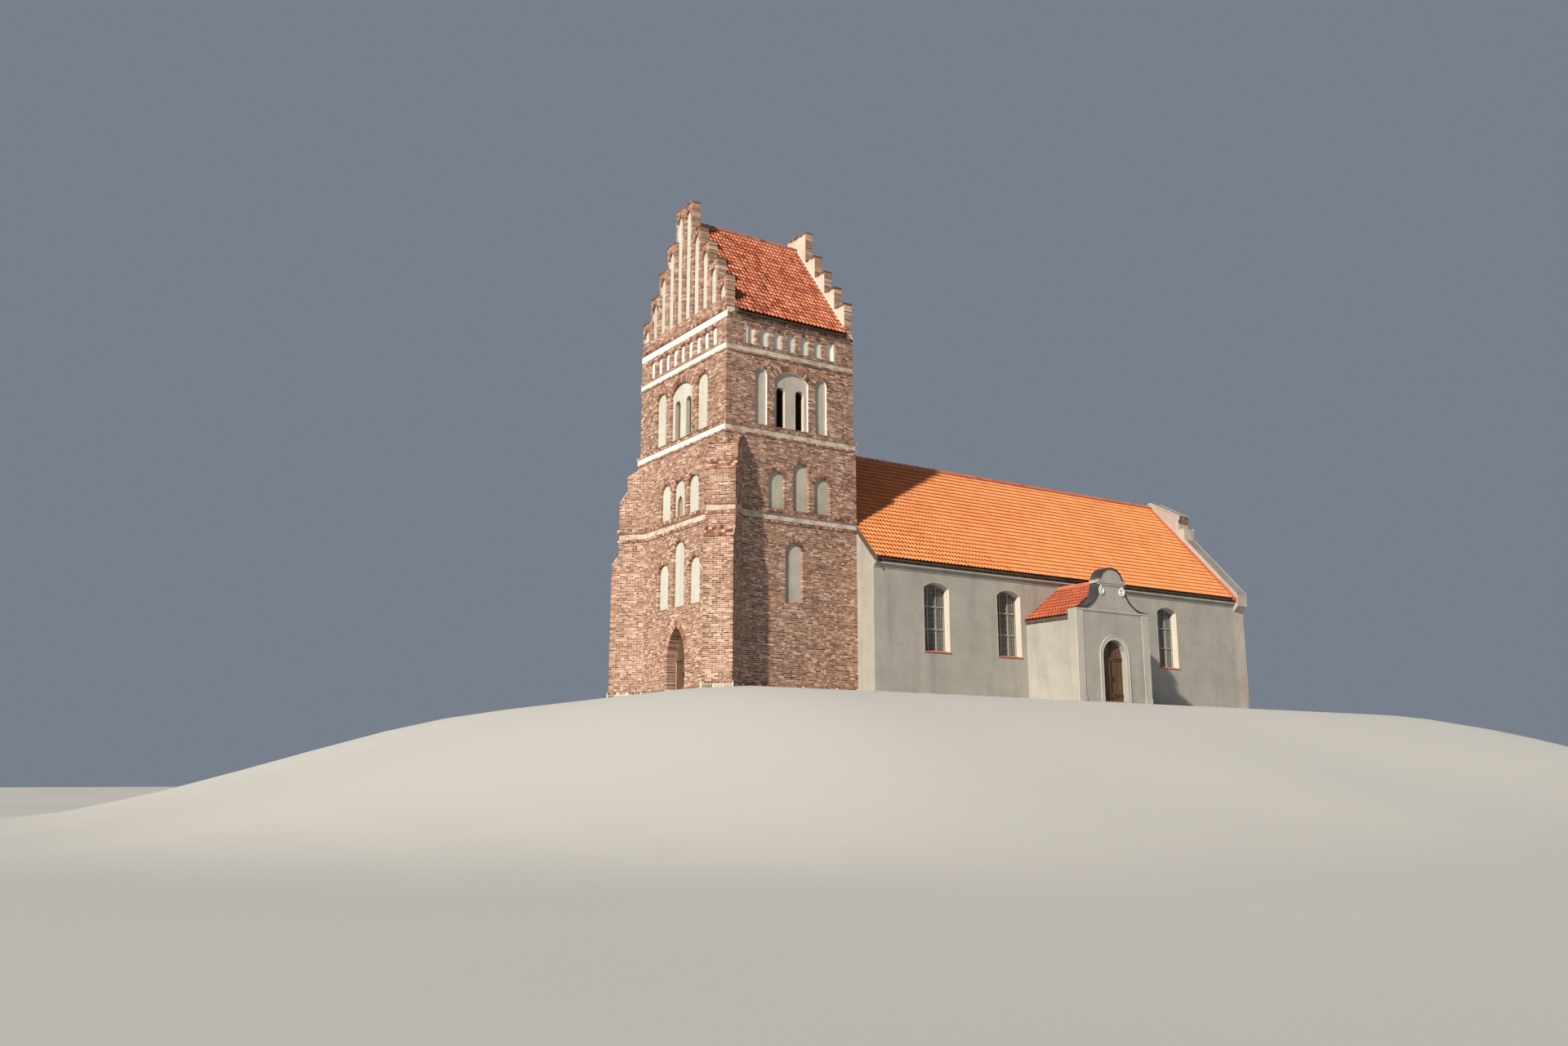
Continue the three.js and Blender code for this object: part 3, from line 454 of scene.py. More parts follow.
# Dark top of the east gable's coping, darker than its light edges: painted shade
COPING_SHADE = plaster_finish("painted_shade_coping", (0.2, 0.175, 0.15), (0.08, 0.07, 0.062), (0.27, 0.26, 0.25),
                           0.4, 0.6)
WHITE = plaster_finish("limewash", (0.71, 0.73, 0.72), (0.41, 0.41, 0.39), (0.64, 0.64, 0.62), 0.3, 0.25)
NAVE_TILE = tile_finish("nave_tile", (0.49, 0.13, 0.045), (0.68, 0.23, 0.08), (0.78, 0.33, 0.135), 0.08)
RIDGE_TILE = tile_finish("ridge_tile", (0.4, 0.105, 0.055), (0.54, 0.15, 0.075), (0.64, 0.21, 0.11), 0.15)
TOWER_TILE = tile_finish("tower_tile", (0.22, 0.058, 0.03), (0.45, 0.128, 0.066), (0.64, 0.26, 0.155), 0.3)
BOARDS = wood_finish("boards", (0.05, 0.035, 0.025), (0.16, 0.115, 0.08), (0.12, 1.0, 1.0))
OAK = wood_finish("oak", (0.06, 0.032, 0.018), (0.17, 0.1, 0.055), (1.0, 1.0, 0.08))
FRAME_WOOD = wood_finish("window_wood", (0.2, 0.19, 0.17), (0.42, 0.4, 0.36), (1.0, 1.0, 0.1))
IRON = metal_finish("iron", (0.03, 0.028, 0.026), (0.1, 0.075, 0.06))
VERGE = metal_finish("painted_flashing", (0.5, 0.11, 0.06), (0.6, 0.15, 0.075), (0.5, 0.7), 0.0)
GRANITE = stone_finish("plinth_stone", [(0.25, (0.16, 0.14, 0.13)), (0.5, (0.34, 0.31, 0.28)),
                                        (0.75, (0.5, 0.42, 0.36))])
PAVING = stone_finish("floor_stone", [(0.3, (0.24, 0.23, 0.21)), (0.7, (0.46, 0.44, 0.4))], (0.12, 0.11, 0.1))
SLATE = stone_finish("tarred_coping", [(0.3, (0.035, 0.037, 0.042)), (0.7, (0.085, 0.085, 0.09))])
GLASS = glass_finish("window_glass")


# Openings and niches
HALF_ROUND, JAMB_LAP, ARCH_JOINT = 1.5, 0.003, 0.008


class Opening:
    """An opening or niche with straight sides and a round, a flatter or a pointed head."""

    def __init__(self, centre, width, sill, crown, rise=None, pointed=False, ring=HEADER, deep=NICHE_DEPTH):
        self.centre, self.width, self.sill, self.crown = centre, width, sill, crown
        self.half = width / 2
        self.pointed, self.ring, self.deep = pointed, ring, deep
        self.inset = self.half if pointed else 0.0
        # Each arc has its centre, radius and first and last angle from upright
        if pointed:
            self.radius = width
            self.spring = self.middle = crown - width * math.sin(math.pi / 3)
            self.arcs = [(centre + self.half, self.spring, width, -math.pi / 2, -math.pi / 6),
                         (centre - self.half, self.spring, width, math.pi / 6, math.pi / 2)]
        else:
            rise = rise or self.half
            self.radius = (self.half ** 2 + rise ** 2) / (2 * rise)
            self.spring = crown - rise
            self.spread = math.asin(min(1.0, self.half / self.radius))
            self.middle = crown - self.radius
            self.arcs = [(centre, self.middle, self.radius, -self.spread, self.spread)]

    def outline(self, grow=0.0, steps=8, sill_drop=None):
        foot = self.sill - (grow if sill_drop is None else sill_drop)
        points = [(self.centre + side * (self.half + grow), foot) for side in (1, -1)]
        for u, z, radius, first, last in self.arcs:
            for angle in np.linspace(first, last, steps // len(self.arcs) + 1):
                points.append((u + (radius + grow) * math.sin(angle), z + (radius + grow) * math.cos(angle)))
        return np.array(points)

    def top(self, u):
        """The height of the head at u."""
        off = abs(u - self.centre) + self.inset
        return self.middle + math.sqrt(max(0.0, self.radius ** 2 - off ** 2))

    def reach(self, z):
        """Half the width that the head and its ring of bricks take at height z."""
        outer = self.radius + self.ring
        rise = max(z, self.spring) - self.middle
        if rise >= (outer * math.cos(math.pi / 6) if self.pointed else outer):
            return 0.0
        reach = math.sqrt(outer ** 2 - rise ** 2) - self.inset
        if not self.pointed and self.spread < HALF_ROUND:
            reach = min(reach, math.tan(self.spread) * rise)
        return max(reach, 0.0)

    def clear(self, low, high):
        """Half the width that bricks from low to high leave free, at their foot and at their top."""
        middle = (low + high) / 2
        if middle < self.sill or low > self.crown + self.ring:
            return None
        if middle < self.spring:
            return self.half - JAMB_LAP, self.half - JAMB_LAP
        if self.reach(high) == 0.0:
            return JOINT / 2, JOINT / 2
        return tuple(self.reach(z) + ARCH_JOINT for z in (low, high))


# Brickwork. A stretch of a course has its two ends, each one value or those at the course's foot and top.
# Behind them may stand how deep the bricks at the two ends go.
SHORTEST_BRICK, LEAST_SPAN, LEAST_GAP, END_BRICK = 0.012, 0.03, 0.05, 0.055
COURSE_SHIFT, JOINT_SHIFT, BRICK_LIFT = 0.02, 0.008, 0.0015
PROUD_MEAN, PROUD_SPREAD, PROUD_LEAST, PROUD_MOST = 0.0065, 0.0016, 0.003, 0.01
ARCH_BRICK, ARCH_GAP, ARCH_PROUD, THIN_RING = 0.078, 0.006, (0.0105, 0.013), 0.11
QUOIN_PROUD, BUTTRESS_PROUD, END_PROUD, BURNT_SHARE = (0.005, 0.009), (0.0085, 0.0125), 0.006, 0.06
# The cut brick over a pointed head: half its width at the foot, how far it rises and stands out
NOTCH_POINT, NOTCH_RISE, NOTCH_PROUD = 0.004, 0.012, 0.0125
# Room beside a joining wall, and how far bricks and plaster go behind a niche's back
NEAR, BEHIND, LEAST_PIECE = 0.01, 0.01, 0.04


def spans(u0, u1, low, high, openings):
    """The stretches of one course between openings."""
    found = []
    start, deep = (u0, u0), SHALLOW
    for opening in sorted(openings, key=lambda one: one.centre):
        clear = opening.clear(low, high)
        if clear is None:
            continue
        end_deep = opening.deep + BEHIND if (low + high) / 2 < opening.spring else SHALLOW
        found.append((start, tuple(opening.centre - edge for edge in clear), deep, end_deep))
        if opening.centre + max(clear) > min(start):
            start, deep = tuple(opening.centre + edge for edge in clear), end_deep
    found.append((start, (u1, u1), deep, SHALLOW))
    return [stretch for stretch in found if max(np.subtract(stretch[1], stretch[0])) > LEAST_SPAN]


def brick_tones(number):
    tones = np.clip(RANDOM.normal(0.48, 0.28, number), 0.03, 1.0)
    return np.where(RANDOM.random(number) < BURNT_SHARE, RANDOM.uniform(0.0, 0.12, number), tones)


def bedded(low, high):
    """The foot and top of the bricks in a course, inside its bed joints."""
    return low + BED / 2, high - BED / 2


def lay(heap, face, low, high, row, stretches):
    """Lays one course of bricks along each stretch: courses of headers and of stretchers by turns."""
    pitch = (STRETCHER if row % 2 else HEADER) + JOINT
    shift = (row % 4 == 3) * pitch / 2 + RANDOM.uniform(-COURSE_SHIFT, COURSE_SHIFT)
    for start, end, *deeps in stretches:
        start, end = np.broadcast_to(start, 2), np.broadcast_to(end, 2)
        short = end - start < SHORTEST_BRICK
        middle = (start + end) / 2
        start = np.where(short, middle - SHORTEST_BRICK / 2, start)
        end = np.where(short, middle + SHORTEST_BRICK / 2, end)
        u0, u1 = max(start), min(end)
        first = math.floor((u0 - shift) / pitch) - 1
        joints = shift + (first + np.arange(max(0, math.ceil((u1 - u0) / pitch) + 3))) * pitch
        joints = joints[(joints > u0 + END_BRICK) & (joints < u1 - END_BRICK)]
        joints = joints + RANDOM.uniform(-JOINT_SHIFT, JOINT_SHIFT, len(joints))
        number = len(joints) + 1
        deep = np.full(number, SHALLOW)
        if deeps:
            deep[0] = deeps[0]
            deep[-1] = max(deeps[1], deep[-1])
        proud = np.clip(RANDOM.normal(PROUD_MEAN, PROUD_SPREAD, number), PROUD_LEAST, PROUD_MOST)
        lift = RANDOM.uniform(-BRICK_LIFT, BRICK_LIFT, number)
        cells = np.zeros((number, 8, 3))
        for corner, (right, front, top) in enumerate(CELL):
            ends = (joints - JOINT / 2, [end[top]]) if right else ([start[top]], joints + JOINT / 2)
            cells[:, corner, 0] = np.concatenate(ends)
            cells[:, corner, 1] = proud if front else -deep
            cells[:, corner, 2] = bedded(low, high)[top] + lift
        heap.solids(face, cells, brick_tones(number))


def courses(*zones):
    """The foot and top of each course in zones from low to high."""
    return [ends for low, high in zones for ends in divided(low, high, max(1, round((high - low) / COURSE)))]


def arch(heap, face, opening):
    """The ring of bricks on edge over an opening."""
    for u, z, radius, first, last in opening.arcs:
        inner = radius * math.cos((last - first) / (8 if opening.pointed else 16)) - 0.002
        outer = radius + opening.ring
        gap = ARCH_GAP / radius
        cells = []
        for low, high in divided(first, last, max(3, round(radius * (last - first) / ARCH_BRICK))):
            ends = low + gap, high - gap
            depths = -opening.deep - BEHIND, RANDOM.uniform(*ARCH_PROUD)
            cells.append([(u + (outer if r else inner) * math.sin(ends[c]), depths[d],
                           z + (outer if r else inner) * math.cos(ends[c])) for c, d, r in CELL])
        heap.solids(face, cells, brick_tones(len(cells)))
    if opening.pointed:
        # The cut brick that fills the notch over the point
        half = outer * math.sin(math.pi / 6) - opening.half - ARCH_JOINT
        ends = opening.crown - NOTCH_POINT, opening.spring + outer * math.cos(math.pi / 6) + NOTCH_RISE
        cells = [(opening.centre + (2 * c - 1) * (half if r else NOTCH_POINT),
                  NOTCH_PROUD if d else -SHALLOW, ends[r]) for c, d, r in CELL]
        heap.solids(face, cells, brick_tones(1))


def quoins(heap, name, back, low, high, row):
    """The bricks at both ends of a west or east course, long on one face and short on the other by turns."""
    size_x, size_y = (STRETCHER, HEADER) if row % 2 else (HEADER, STRETCHER)
    x, way_x = (back, 1) if name == "west" else (LENGTH - back, -1)
    for y, way_y in ((back, 1), (WIDTH - back, -1)):
        proud = RANDOM.uniform(*QUOIN_PROUD)
        heap.boxes(PLAN, (x - way_x * proud, x + way_x * size_x), (y - way_y * proud, y + way_y * size_y),
                   bedded(low, high), brick_tones(1))


# The tower's faces, its openings and the heights of its bands
WALL_AXES = {"west": ((0, 1, 0), (-1, 0, 0)), "south": ((1, 0, 0), (0, -1, 0)),
             "north": ((1, 0, 0), (0, 1, 0)), "east": ((0, 1, 0), (1, 0, 0))}
ENDS, FLANKS = ("west", "east"), ("south", "north")
SIDES = (-1, 1)


def wall_planes(**places):
    """The planes of upright walls, by their sides and how far east or north they stand."""
    planes = {}
    for side, place in places.items():
        along, out = WALL_AXES[side]
        planes[side] = Face(np.abs(out) * place, along, out)
    return planes


LOWER = wall_planes(west=0.0, south=0.0, north=WIDTH, east=LENGTH)
UPPER = wall_planes(west=SETBACK, south=SETBACK, north=WIDTH - SETBACK, east=LENGTH - SETBACK)
MEET = math.sqrt(2) * BUTTRESS_HALF
CAP_FOOT, CAP_RISE, CAP_JOINT, LEAST_CAP = 10.77, 0.432, 0.03, 0.1
LOWER_EAST_END = 0.004
BAND_LOW, FRIEZE_LOW, FRIEZE_HIGH, BAND_HIGH = 7.5, 7.6, 7.9, 8.1
LEDGE, BELFRY_SILL, EAST_SILL, UPPER_BAND, UPPER_LEDGE = 11.63, 11.75, 12.6, 14.85, 15.25
DENTIL_LOW, DENTIL_HIGH, GABLE_FRIEZE, GABLE_STRING = 16.4, 16.55, 16.33, 16.8

# Each niche has its middle, width, sill and crown
LANCET_NICHE = Opening(3.9, 1.0, 8.1, 9.85)
WEST_NICHES = [Opening(2.63, 0.94, 8.1, 9.85), LANCET_NICHE, Opening(5.16, 0.9, 8.1, 9.85),
               Opening(2.45, 0.93, 4.1, 6.2), Opening(3.85, 0.98, 4.1, 7.07), Opening(5.25, 0.93, 4.1, 6.2)]
WEST_LANCET = Opening(4.0, 0.49, 8.2, 9.13, pointed=True, deep=0.26)
WEST_PORTAL = Opening(MIDDLE, 1.6, 0.2, 3.3, pointed=True, ring=STRETCHER, deep=0.45)
SIDE_NICHES = [Opening(2.59, 0.82, 8.1, 9.82), Opening(3.865, 0.83, 8.1, 10.29),
               Opening(5.0, 0.84, 8.1, 9.82), Opening(3.5, 0.9, 4.1, 6.75)]
LANCET_OFF, LANCET_WIDTH, LANCET_SILL, LANCET_CROWN, BELFRY_WALL = 0.5, 0.48, 11.8, 13.66, 1.07
WIDE_CROWN, WIDE_RISE, BESIDE_CROWN = 14.4, 0.42, 14.35
SMALL_STEP, SMALL_NICHE = 0.715, (0.45, 15.3, 16.2)


def belfry_openings(name):
    """A face's wide niche, the lancets in it, the niches beside it and the small ones under the eaves."""
    if name in ENDS:
        middle, width, off, side_width, number = MIDDLE, 1.93, 1.88, 0.95, 9
    else:
        middle, width, off, side_width, number = LENGTH / 2, 1.8, 1.59, 0.63, 7
    sill = EAST_SILL if name == "east" else BELFRY_SILL
    wide = Opening(middle, width, sill, WIDE_CROWN, WIDE_RISE, ring=STRETCHER)
    lancets = [Opening(middle + way * LANCET_OFF, LANCET_WIDTH, max(sill, LANCET_SILL), LANCET_CROWN,
                       deep=BELFRY_WALL) for way in SIDES]
    beside = [Opening(middle + way * off, side_width, BELFRY_SILL, BESIDE_CROWN) for way in SIDES]
    places = middle + (np.arange(number) - (number - 1) / 2) * SMALL_STEP
    small = [Opening(place, *SMALL_NICHE, ring=THIN_RING) for place in places]
    return wide, lancets, beside, small


def nave_line(z, margin=0.12):
    """How far in from the middle the nave's roof reaches at this height."""
    return max(0.0, (NAVE_RIDGE + margin - z) / NAVE_SLOPE)


def lower_brickwork(name):
    """The stage below the belfry on one face, from the plinth to the belfry's foot."""
    face, heap = LOWER[name], Heap()
    openings = {"west": [*WEST_NICHES, WEST_PORTAL], "east": []}.get(name, SIDE_NICHES)
    end = WIDTH if name in ENDS else LENGTH
    for row, (z0, z1) in enumerate(courses((PLINTH_TOP, BAND_LOW), (BAND_HIGH, LOWER_TOP)), 1):
        above, capped = z0 > BAND_LOW, z0 > CAP_FOOT + LEAST_CAP
        first = (HEADER if (row % 2 == 1) == (name in ENDS) else STRETCHER) + JOINT
        if name == "east":
            reach = nave_line(z0)
            stretches = [(first, MIDDLE - reach), (MIDDLE + reach, WIDTH - first)]
            stretches = stretches if MIDDLE - reach - first > LEAST_GAP else []
        else:
            far = MEET + NEAR if name == "west" else first if above else LOWER_EAST_END
            stretches = spans(MEET + NEAR, end - far, z0, z1, openings)
            reach = (z0 - CAP_FOOT) / CAP_RISE - CAP_JOINT
            if capped and reach - first > LEAST_GAP:
                stretches.append((first, min(reach, MEET)))
                if name == "west":
                    stretches.append((end - min(reach, MEET), end - first))
        lay(heap, face, z0, z1, row, stretches)
        if {"east": above, "west": capped}.get(name):
            quoins(heap, name, 0.0, z0, z1, row)
    for opening in openings:
        arch(heap, face, opening)
    piece(f"tower_{name}_bricks", heap, BRICK)


def upper_brickwork(name):
    """The belfry stage on one face."""
    face, heap = UPPER[name], Heap()
    wide, _, beside, small = belfry_openings(name)
    openings = [wide, *beside, *small]
    end = WIDTH if name in ENDS else LENGTH
    zones = [(LEDGE, UPPER_BAND), (UPPER_LEDGE, GABLE_FRIEZE)]
    if name in FLANKS:
        zones = [(LEDGE, UPPER_BAND), (UPPER_LEDGE, DENTIL_LOW), (DENTIL_HIGH, BELFRY_TOP)]
    for row, (z0, z1) in enumerate(courses(*zones), 1):
        first = SETBACK + (HEADER if (row % 2 == 1) == (name in ENDS) else STRETCHER) + JOINT
        stretches = spans(first, end - first, z0, z1, openings)
        reach = nave_line(z0)
        if name == "east" and reach > 0:
            left, right = MIDDLE - reach, MIDDLE + reach
            stretches = [(v0, v1, *deeps) for u0, u1, *deeps in stretches
                         for v0, v1 in ((u0, np.minimum(u1, left)), (np.maximum(u0, right), u1))
                         if min(np.subtract(v1, v0)) > LEAST_PIECE]
        lay(heap, face, z0, z1, row, stretches)
        if name in ENDS:
            quoins(heap, name, SETBACK, z0, z1, row)
    for opening in openings:
        arch(heap, face, opening)
    piece(f"belfry_{name}_bricks", heap, BRICK)


def buttress_faces(name, half, reach):
    """A diagonal buttress's front, its two flanks, and the planes from its axis to each side."""
    way = -1 if name == "south" else 1
    corner = np.array([0.0, 0.0 if name == "south" else WIDTH, 0.0])
    out, across = (np.array([x, way, 0]) / math.sqrt(2) for x in SIDES)
    flanks = [Face(corner + across * side * half, out, across * side) for side in SIDES]
    halves = [Face(corner, across * side, out) for side in SIDES]
    return Face(corner + out * reach, across, out), flanks, halves


# Tiles on a shoulder: how many go across, a row's height, and how far they stand over the sides and the foot
SHOULDER_COLUMNS, SHOULDER_ROW, SHOULDER_OVER, SHOULDER_FOOT = 8, 0.16, 0.03, 0.02
# The joint between two, how far rows lap, how high a tile's upper and lower ends lie, and how thick it is
SHOULDER_JOINT, SHOULDER_LAP, SHOULDER_HEAD, SHOULDER_TAIL, SHOULDER_THICK = 0.006, 0.03, 0.014, 0.034, 0.02
SHOULDER_LIFT = 0.003


def shoulder_tiles(heap, face, reach, inner, shoulder, top):
    """Flat tiles on a buttress's shoulder, each row lapping the one below."""
    edge = BUTTRESS_HALF + SHOULDER_OVER
    run = np.array([inner - reach, top - shoulder])
    long = np.hypot(*run)
    rows = max(3, round(long / SHOULDER_ROW))
    slope = run / long
    rise = np.array([slope[1], -slope[0]])
    width = 2 * edge / SHOULDER_COLUMNS
    for k in range(rows):
        for column in range(SHOULDER_COLUMNS):
            left = -edge + column * width + (width / 2 if k % 2 else 0.0)
            right = min(left + width - SHOULDER_JOINT, edge)
            if right - left < LEAST_PIECE:
                continue
            lift = SHOULDER_TAIL + RANDOM.uniform(-SHOULDER_LIFT, SHOULDER_LIFT)
            cells = []
            for c, d, r in CELL:
                along = k * long / rows - SHOULDER_FOOT + d * (long / rows + SHOULDER_LAP)
                height = (SHOULDER_HEAD if d else lift) - (0 if r else SHOULDER_THICK)
                n, z = np.array([reach, shoulder]) + slope * along + rise * height
                cells.append((right if c else left, n, z))
            heap.solids(face, cells, RANDOM.uniform(0, 1))


def buttress_brickwork(name):
    """A diagonal buttress: its front, both flanks and its sloping shoulders."""
    heap, caps = Heap(), Heap()
    row = 0
    inners = [stage[0] for stage in BUTTRESS_STAGES[1:]] + [-BUTTRESS_HALF]
    for (reach, foot, shoulder, top), inner in zip(BUTTRESS_STAGES, inners):
        zones = [(max(foot, PLINTH_TOP), shoulder)]
        if foot < BAND_LOW < shoulder:
            zones = [(foot, BAND_LOW), (BAND_HIGH, shoulder)]
        front, flanks, halves = buttress_faces(name, BUTTRESS_HALF, reach)
        for row, (z0, z1) in enumerate(courses(*zones), row + 1):
            first, second = (HEADER, STRETCHER) if row % 2 else (STRETCHER, HEADER)
            edge = BUTTRESS_HALF - first - JOINT
            lay(heap, front, z0, z1, row, [(-edge, edge)])
            for flank, half in zip(flanks, halves):
                lay(heap, flank, z0, z1, row, [(-BUTTRESS_HALF + NEAR, reach - second - JOINT)])
                proud = RANDOM.uniform(*BUTTRESS_PROUD)
                heap.boxes(half, (BUTTRESS_HALF - first, BUTTRESS_HALF + proud),
                           (reach - second, reach + proud), bedded(z0, z1), brick_tones(1))
        # Bricks beside the sloping shoulder, cut to the slope
        for row, (z0, z1) in enumerate(courses((shoulder, top)), row + 1):
            edge = reach - (z1 - shoulder) / (top - shoulder) * (reach - inner)
            for flank in flanks if edge + BUTTRESS_HALF > 0.1 else []:
                lay(heap, flank, z0, z1, row, [(-BUTTRESS_HALF + NEAR, edge - NEAR)])
        shoulder_tiles(caps, halves[1], reach, inner, shoulder, top)
    piece(f"buttress_{name}west_bricks", heap, BRICK)
    piece(f"buttress_{name}west_slopes", caps, BRICK)


for side_name in ("west", "south", "north", "east"):
    lower_brickwork(side_name)
    upper_brickwork(side_name)
for side_name in FLANKS:
    buttress_brickwork(side_name)


# String courses and friezes: each string has its foot, its top and how far it stands out
LOWER_STRINGS = [(BAND_LOW, FRIEZE_LOW, 0.055), (FRIEZE_HIGH, 8.0, 0.078), (8.0, BAND_HIGH, 0.064)]
UPPER_STRINGS = [(LOWER_TOP, 11.29, 0.124), (11.54, LEDGE, 0.134), (UPPER_BAND, 14.93, 0.054),
                 (15.18, UPPER_LEDGE, 0.064)]
UPPER_FRIEZES = [(11.29, 11.54, 0.09), (14.93, 15.18, 0.02)]
LEDGES = (FRIEZE_LOW, BAND_HIGH, LEDGE, UPPER_LEDGE)
WEST_LIME, STRING_JOINT, STRING_DEEP = 0.22, 0.006, 0.05
STRING_MEAN, STRING_SPREAD, STRING_LEAST, STRING_MOST = 0.006, 0.003, 0.001, 0.014
# A plastered band: its lengths, the steps of its wavy edges, and how deep and proud it is
PANEL_LENGTH, PANEL_JITTER, PANEL_STEP, PANEL_EDGE, PANEL_WAVES = 1.3, 0.25, 0.12, 0.004, (0.008, 0.01)
PANEL_BACK, PANEL_PROUD = 0.02, (0.006, 0.009)
# Dirt on a ledge: its lengths, how far back it starts and ends, its foot and its top
MOSS_LENGTH, MOSS_BACK, MOSS_FRONT, MOSS_FOOT, MOSS_TOP = 0.35, 0.09, (0.004, 0.016), 0.006, (0.014, 0.024)


def string_bricks(heap, face, u0, u1, low, high, out, lime=0.0):
    """Headers side by side along a string course, with more or less lime on them."""
    number = max(1, round((u1 - u0) / (HEADER + JOINT)))
    edges = np.linspace(u0, u1, number + 1)
    proud = out + np.clip(RANDOM.normal(STRING_MEAN, STRING_SPREAD, number), STRING_LEAST, STRING_MOST)
    heap.boxes(face, (edges[:-1] + JOINT / 2, edges[1:] - JOINT / 2), (out - STRING_DEEP, proud),
               (low + STRING_JOINT, high - STRING_JOINT), np.minimum(brick_tones(number) + lime, 1.0))


def uneven(u0, u1, long, jitter):
    """Stretches of about one length from u0 to u1, whose inner edges are moved a little."""
    number = max(1, round((u1 - u0) / long))
    edges = np.linspace(u0, u1, number + 1)
    edges[1:-1] += RANDOM.uniform(-jitter, jitter, number - 1)
    return stretches_of(edges)


def frieze_panels(heap, face, u0, u1, low, high, out):
    """A plastered band, laid in lengths whose surfaces and edges differ a little."""
    for a, b in uneven(u0, u1, PANEL_LENGTH, PANEL_JITTER):
        steps = max(2, round((b - a) / PANEL_STEP))
        along = np.linspace(a, b, steps + 1)
        top = high - PANEL_EDGE - RANDOM.uniform(0, PANEL_WAVES[0], steps + 1)
        bottom = low + PANEL_EDGE + RANDOM.uniform(0, PANEL_WAVES[1], steps + 1)
        outline = np.concatenate([np.column_stack([along, bottom]), np.column_stack([along, top])[::-1]])
        heap.plate(face, [outline], out - PANEL_BACK, out + RANDOM.uniform(*PANEL_PROUD))


def ledge_dirt(heap, face, u0, u1, z, out):
    """Moss and dirt along the top of a string course, a little set back."""
    for ends in divided(u0, u1, max(2, round((u1 - u0) / MOSS_LENGTH))):
        depths = out - MOSS_BACK, out - RANDOM.uniform(*MOSS_FRONT)
        heights = z - MOSS_FOOT, z + RANDOM.uniform(*MOSS_TOP)
        heap.boxes(face, ends, depths, heights, RANDOM.uniform(0, 1))


def frieze_bricks(heap, face, u0, u1):
    """The few courses of the lower frieze round a buttress."""
    for row, (z0, z1) in enumerate(courses((FRIEZE_LOW, FRIEZE_HIGH))):
        lay(heap, face, z0, z1, row, [(u0 + JOINT, u1 - JOINT)])


strings, friezes, limed, worn, plain, dirt = (Heap() for _ in range(6))
SECOND_REACH = BUTTRESS_STAGES[1][0]
for low, high, out in LOWER_STRINGS:
    meet = math.sqrt(2) * (BUTTRESS_HALF + out) - out
    half, reach = BUTTRESS_HALF + out, SECOND_REACH + out
    # Each run has its face, its ends, the ends of the dirt on it and how far it stands out
    runs = [(LOWER["west"], meet + NEAR, WIDTH - meet - NEAR, meet, WIDTH - meet, out)]
    for side_name in FLANKS:
        front, flanks, _ = buttress_faces(side_name, half, reach)
        runs += [(LOWER[side_name], meet + NEAR, LENGTH - NEAR, meet, LENGTH - NEAR, out),
                 (front, -half, half, -half, half, 0.0)]
        runs += [(flank, -half + 0.02, reach - 0.06, -half, reach, 0.0) for flank in flanks]
    for face, u0, u1, dirt_start, dirt_end, depth in runs:
        string_bricks(strings, face, u0, u1, low, high, depth)
        if high in LEDGES:
            ledge_dirt(dirt, face, dirt_start, dirt_end, high, depth)
frieze_panels(worn, LOWER["west"], MEET + NEAR, WIDTH - MEET - NEAR, FRIEZE_LOW, FRIEZE_HIGH, 0.0)
for side_name in FLANKS:
    frieze_panels(worn, LOWER[side_name], MEET + NEAR, LENGTH - NEAR, FRIEZE_LOW, FRIEZE_HIGH, 0.0)
    front, flanks, halves = buttress_faces(side_name, BUTTRESS_HALF, SECOND_REACH)
    frieze_bricks(plain, front, -BUTTRESS_HALF + STRETCHER, BUTTRESS_HALF - STRETCHER)
    feet, tops = np.transpose(courses((FRIEZE_LOW, FRIEZE_HIGH)))
    for face in halves:
        plain.boxes(face, (BUTTRESS_HALF - STRETCHER, BUTTRESS_HALF + END_PROUD),
                    (SECOND_REACH - STRETCHER, SECOND_REACH + END_PROUD), bedded(feet, tops),
                    brick_tones(len(feet)))
    for flank in flanks:
        frieze_bricks(plain, flank, -BUTTRESS_HALF + 0.02, SECOND_REACH - STRETCHER)
for low, high, out in UPPER_STRINGS + UPPER_FRIEZES:
    is_string = (low, high, out) in UPPER_STRINGS
    draw = string_bricks if is_string else frieze_panels
    for side_name, face in UPPER.items():
        # Friezes off the west face take the darker plaster, partly painted shade
        heap = strings if is_string else limed if side_name == "west" else friezes
        u0 = SETBACK - out + (0.0 if side_name in ENDS else 0.05)
        u1 = (WIDTH if side_name in ENDS else LENGTH) - u0
        reach = nave_line(low) if side_name == "east" else 0.0
        if reach > 0:
            draw(heap, face, u0, MIDDLE - reach, low, high, out)
            draw(heap, face, MIDDLE + reach, u1, low, high, out)
            continue
        draw(heap, face, u0, u1, low, high, out, *([WEST_LIME] if is_string and side_name == "west" else []))
        if high in LEDGES:
            ledge_dirt(dirt, face, u0, u1, high, out)
for side_name in FLANKS:
    string_bricks(strings, UPPER[side_name], SETBACK, LENGTH - SETBACK, DENTIL_LOW, DENTIL_HIGH, 0.05)
for side_name in ENDS:
    face = UPPER[side_name]
    frieze_panels(limed, face, SETBACK - 0.04, WIDTH - SETBACK + 0.04, GABLE_FRIEZE, BELFRY_TOP, 0.0)
    string_bricks(strings, face, SETBACK, WIDTH - SETBACK, BELFRY_TOP, GABLE_STRING, 0.05)
piece("tower_string_courses", strings, BRICK)
piece("tower_friezes", friezes, FRIEZE)
piece("tower_limed_friezes", limed, WHITE)
piece("tower_ledge_dirt", dirt, DIRT)
piece("tower_lower_friezes", worn, WORN)
piece("buttress_bands", plain, LIMED_BRICK)


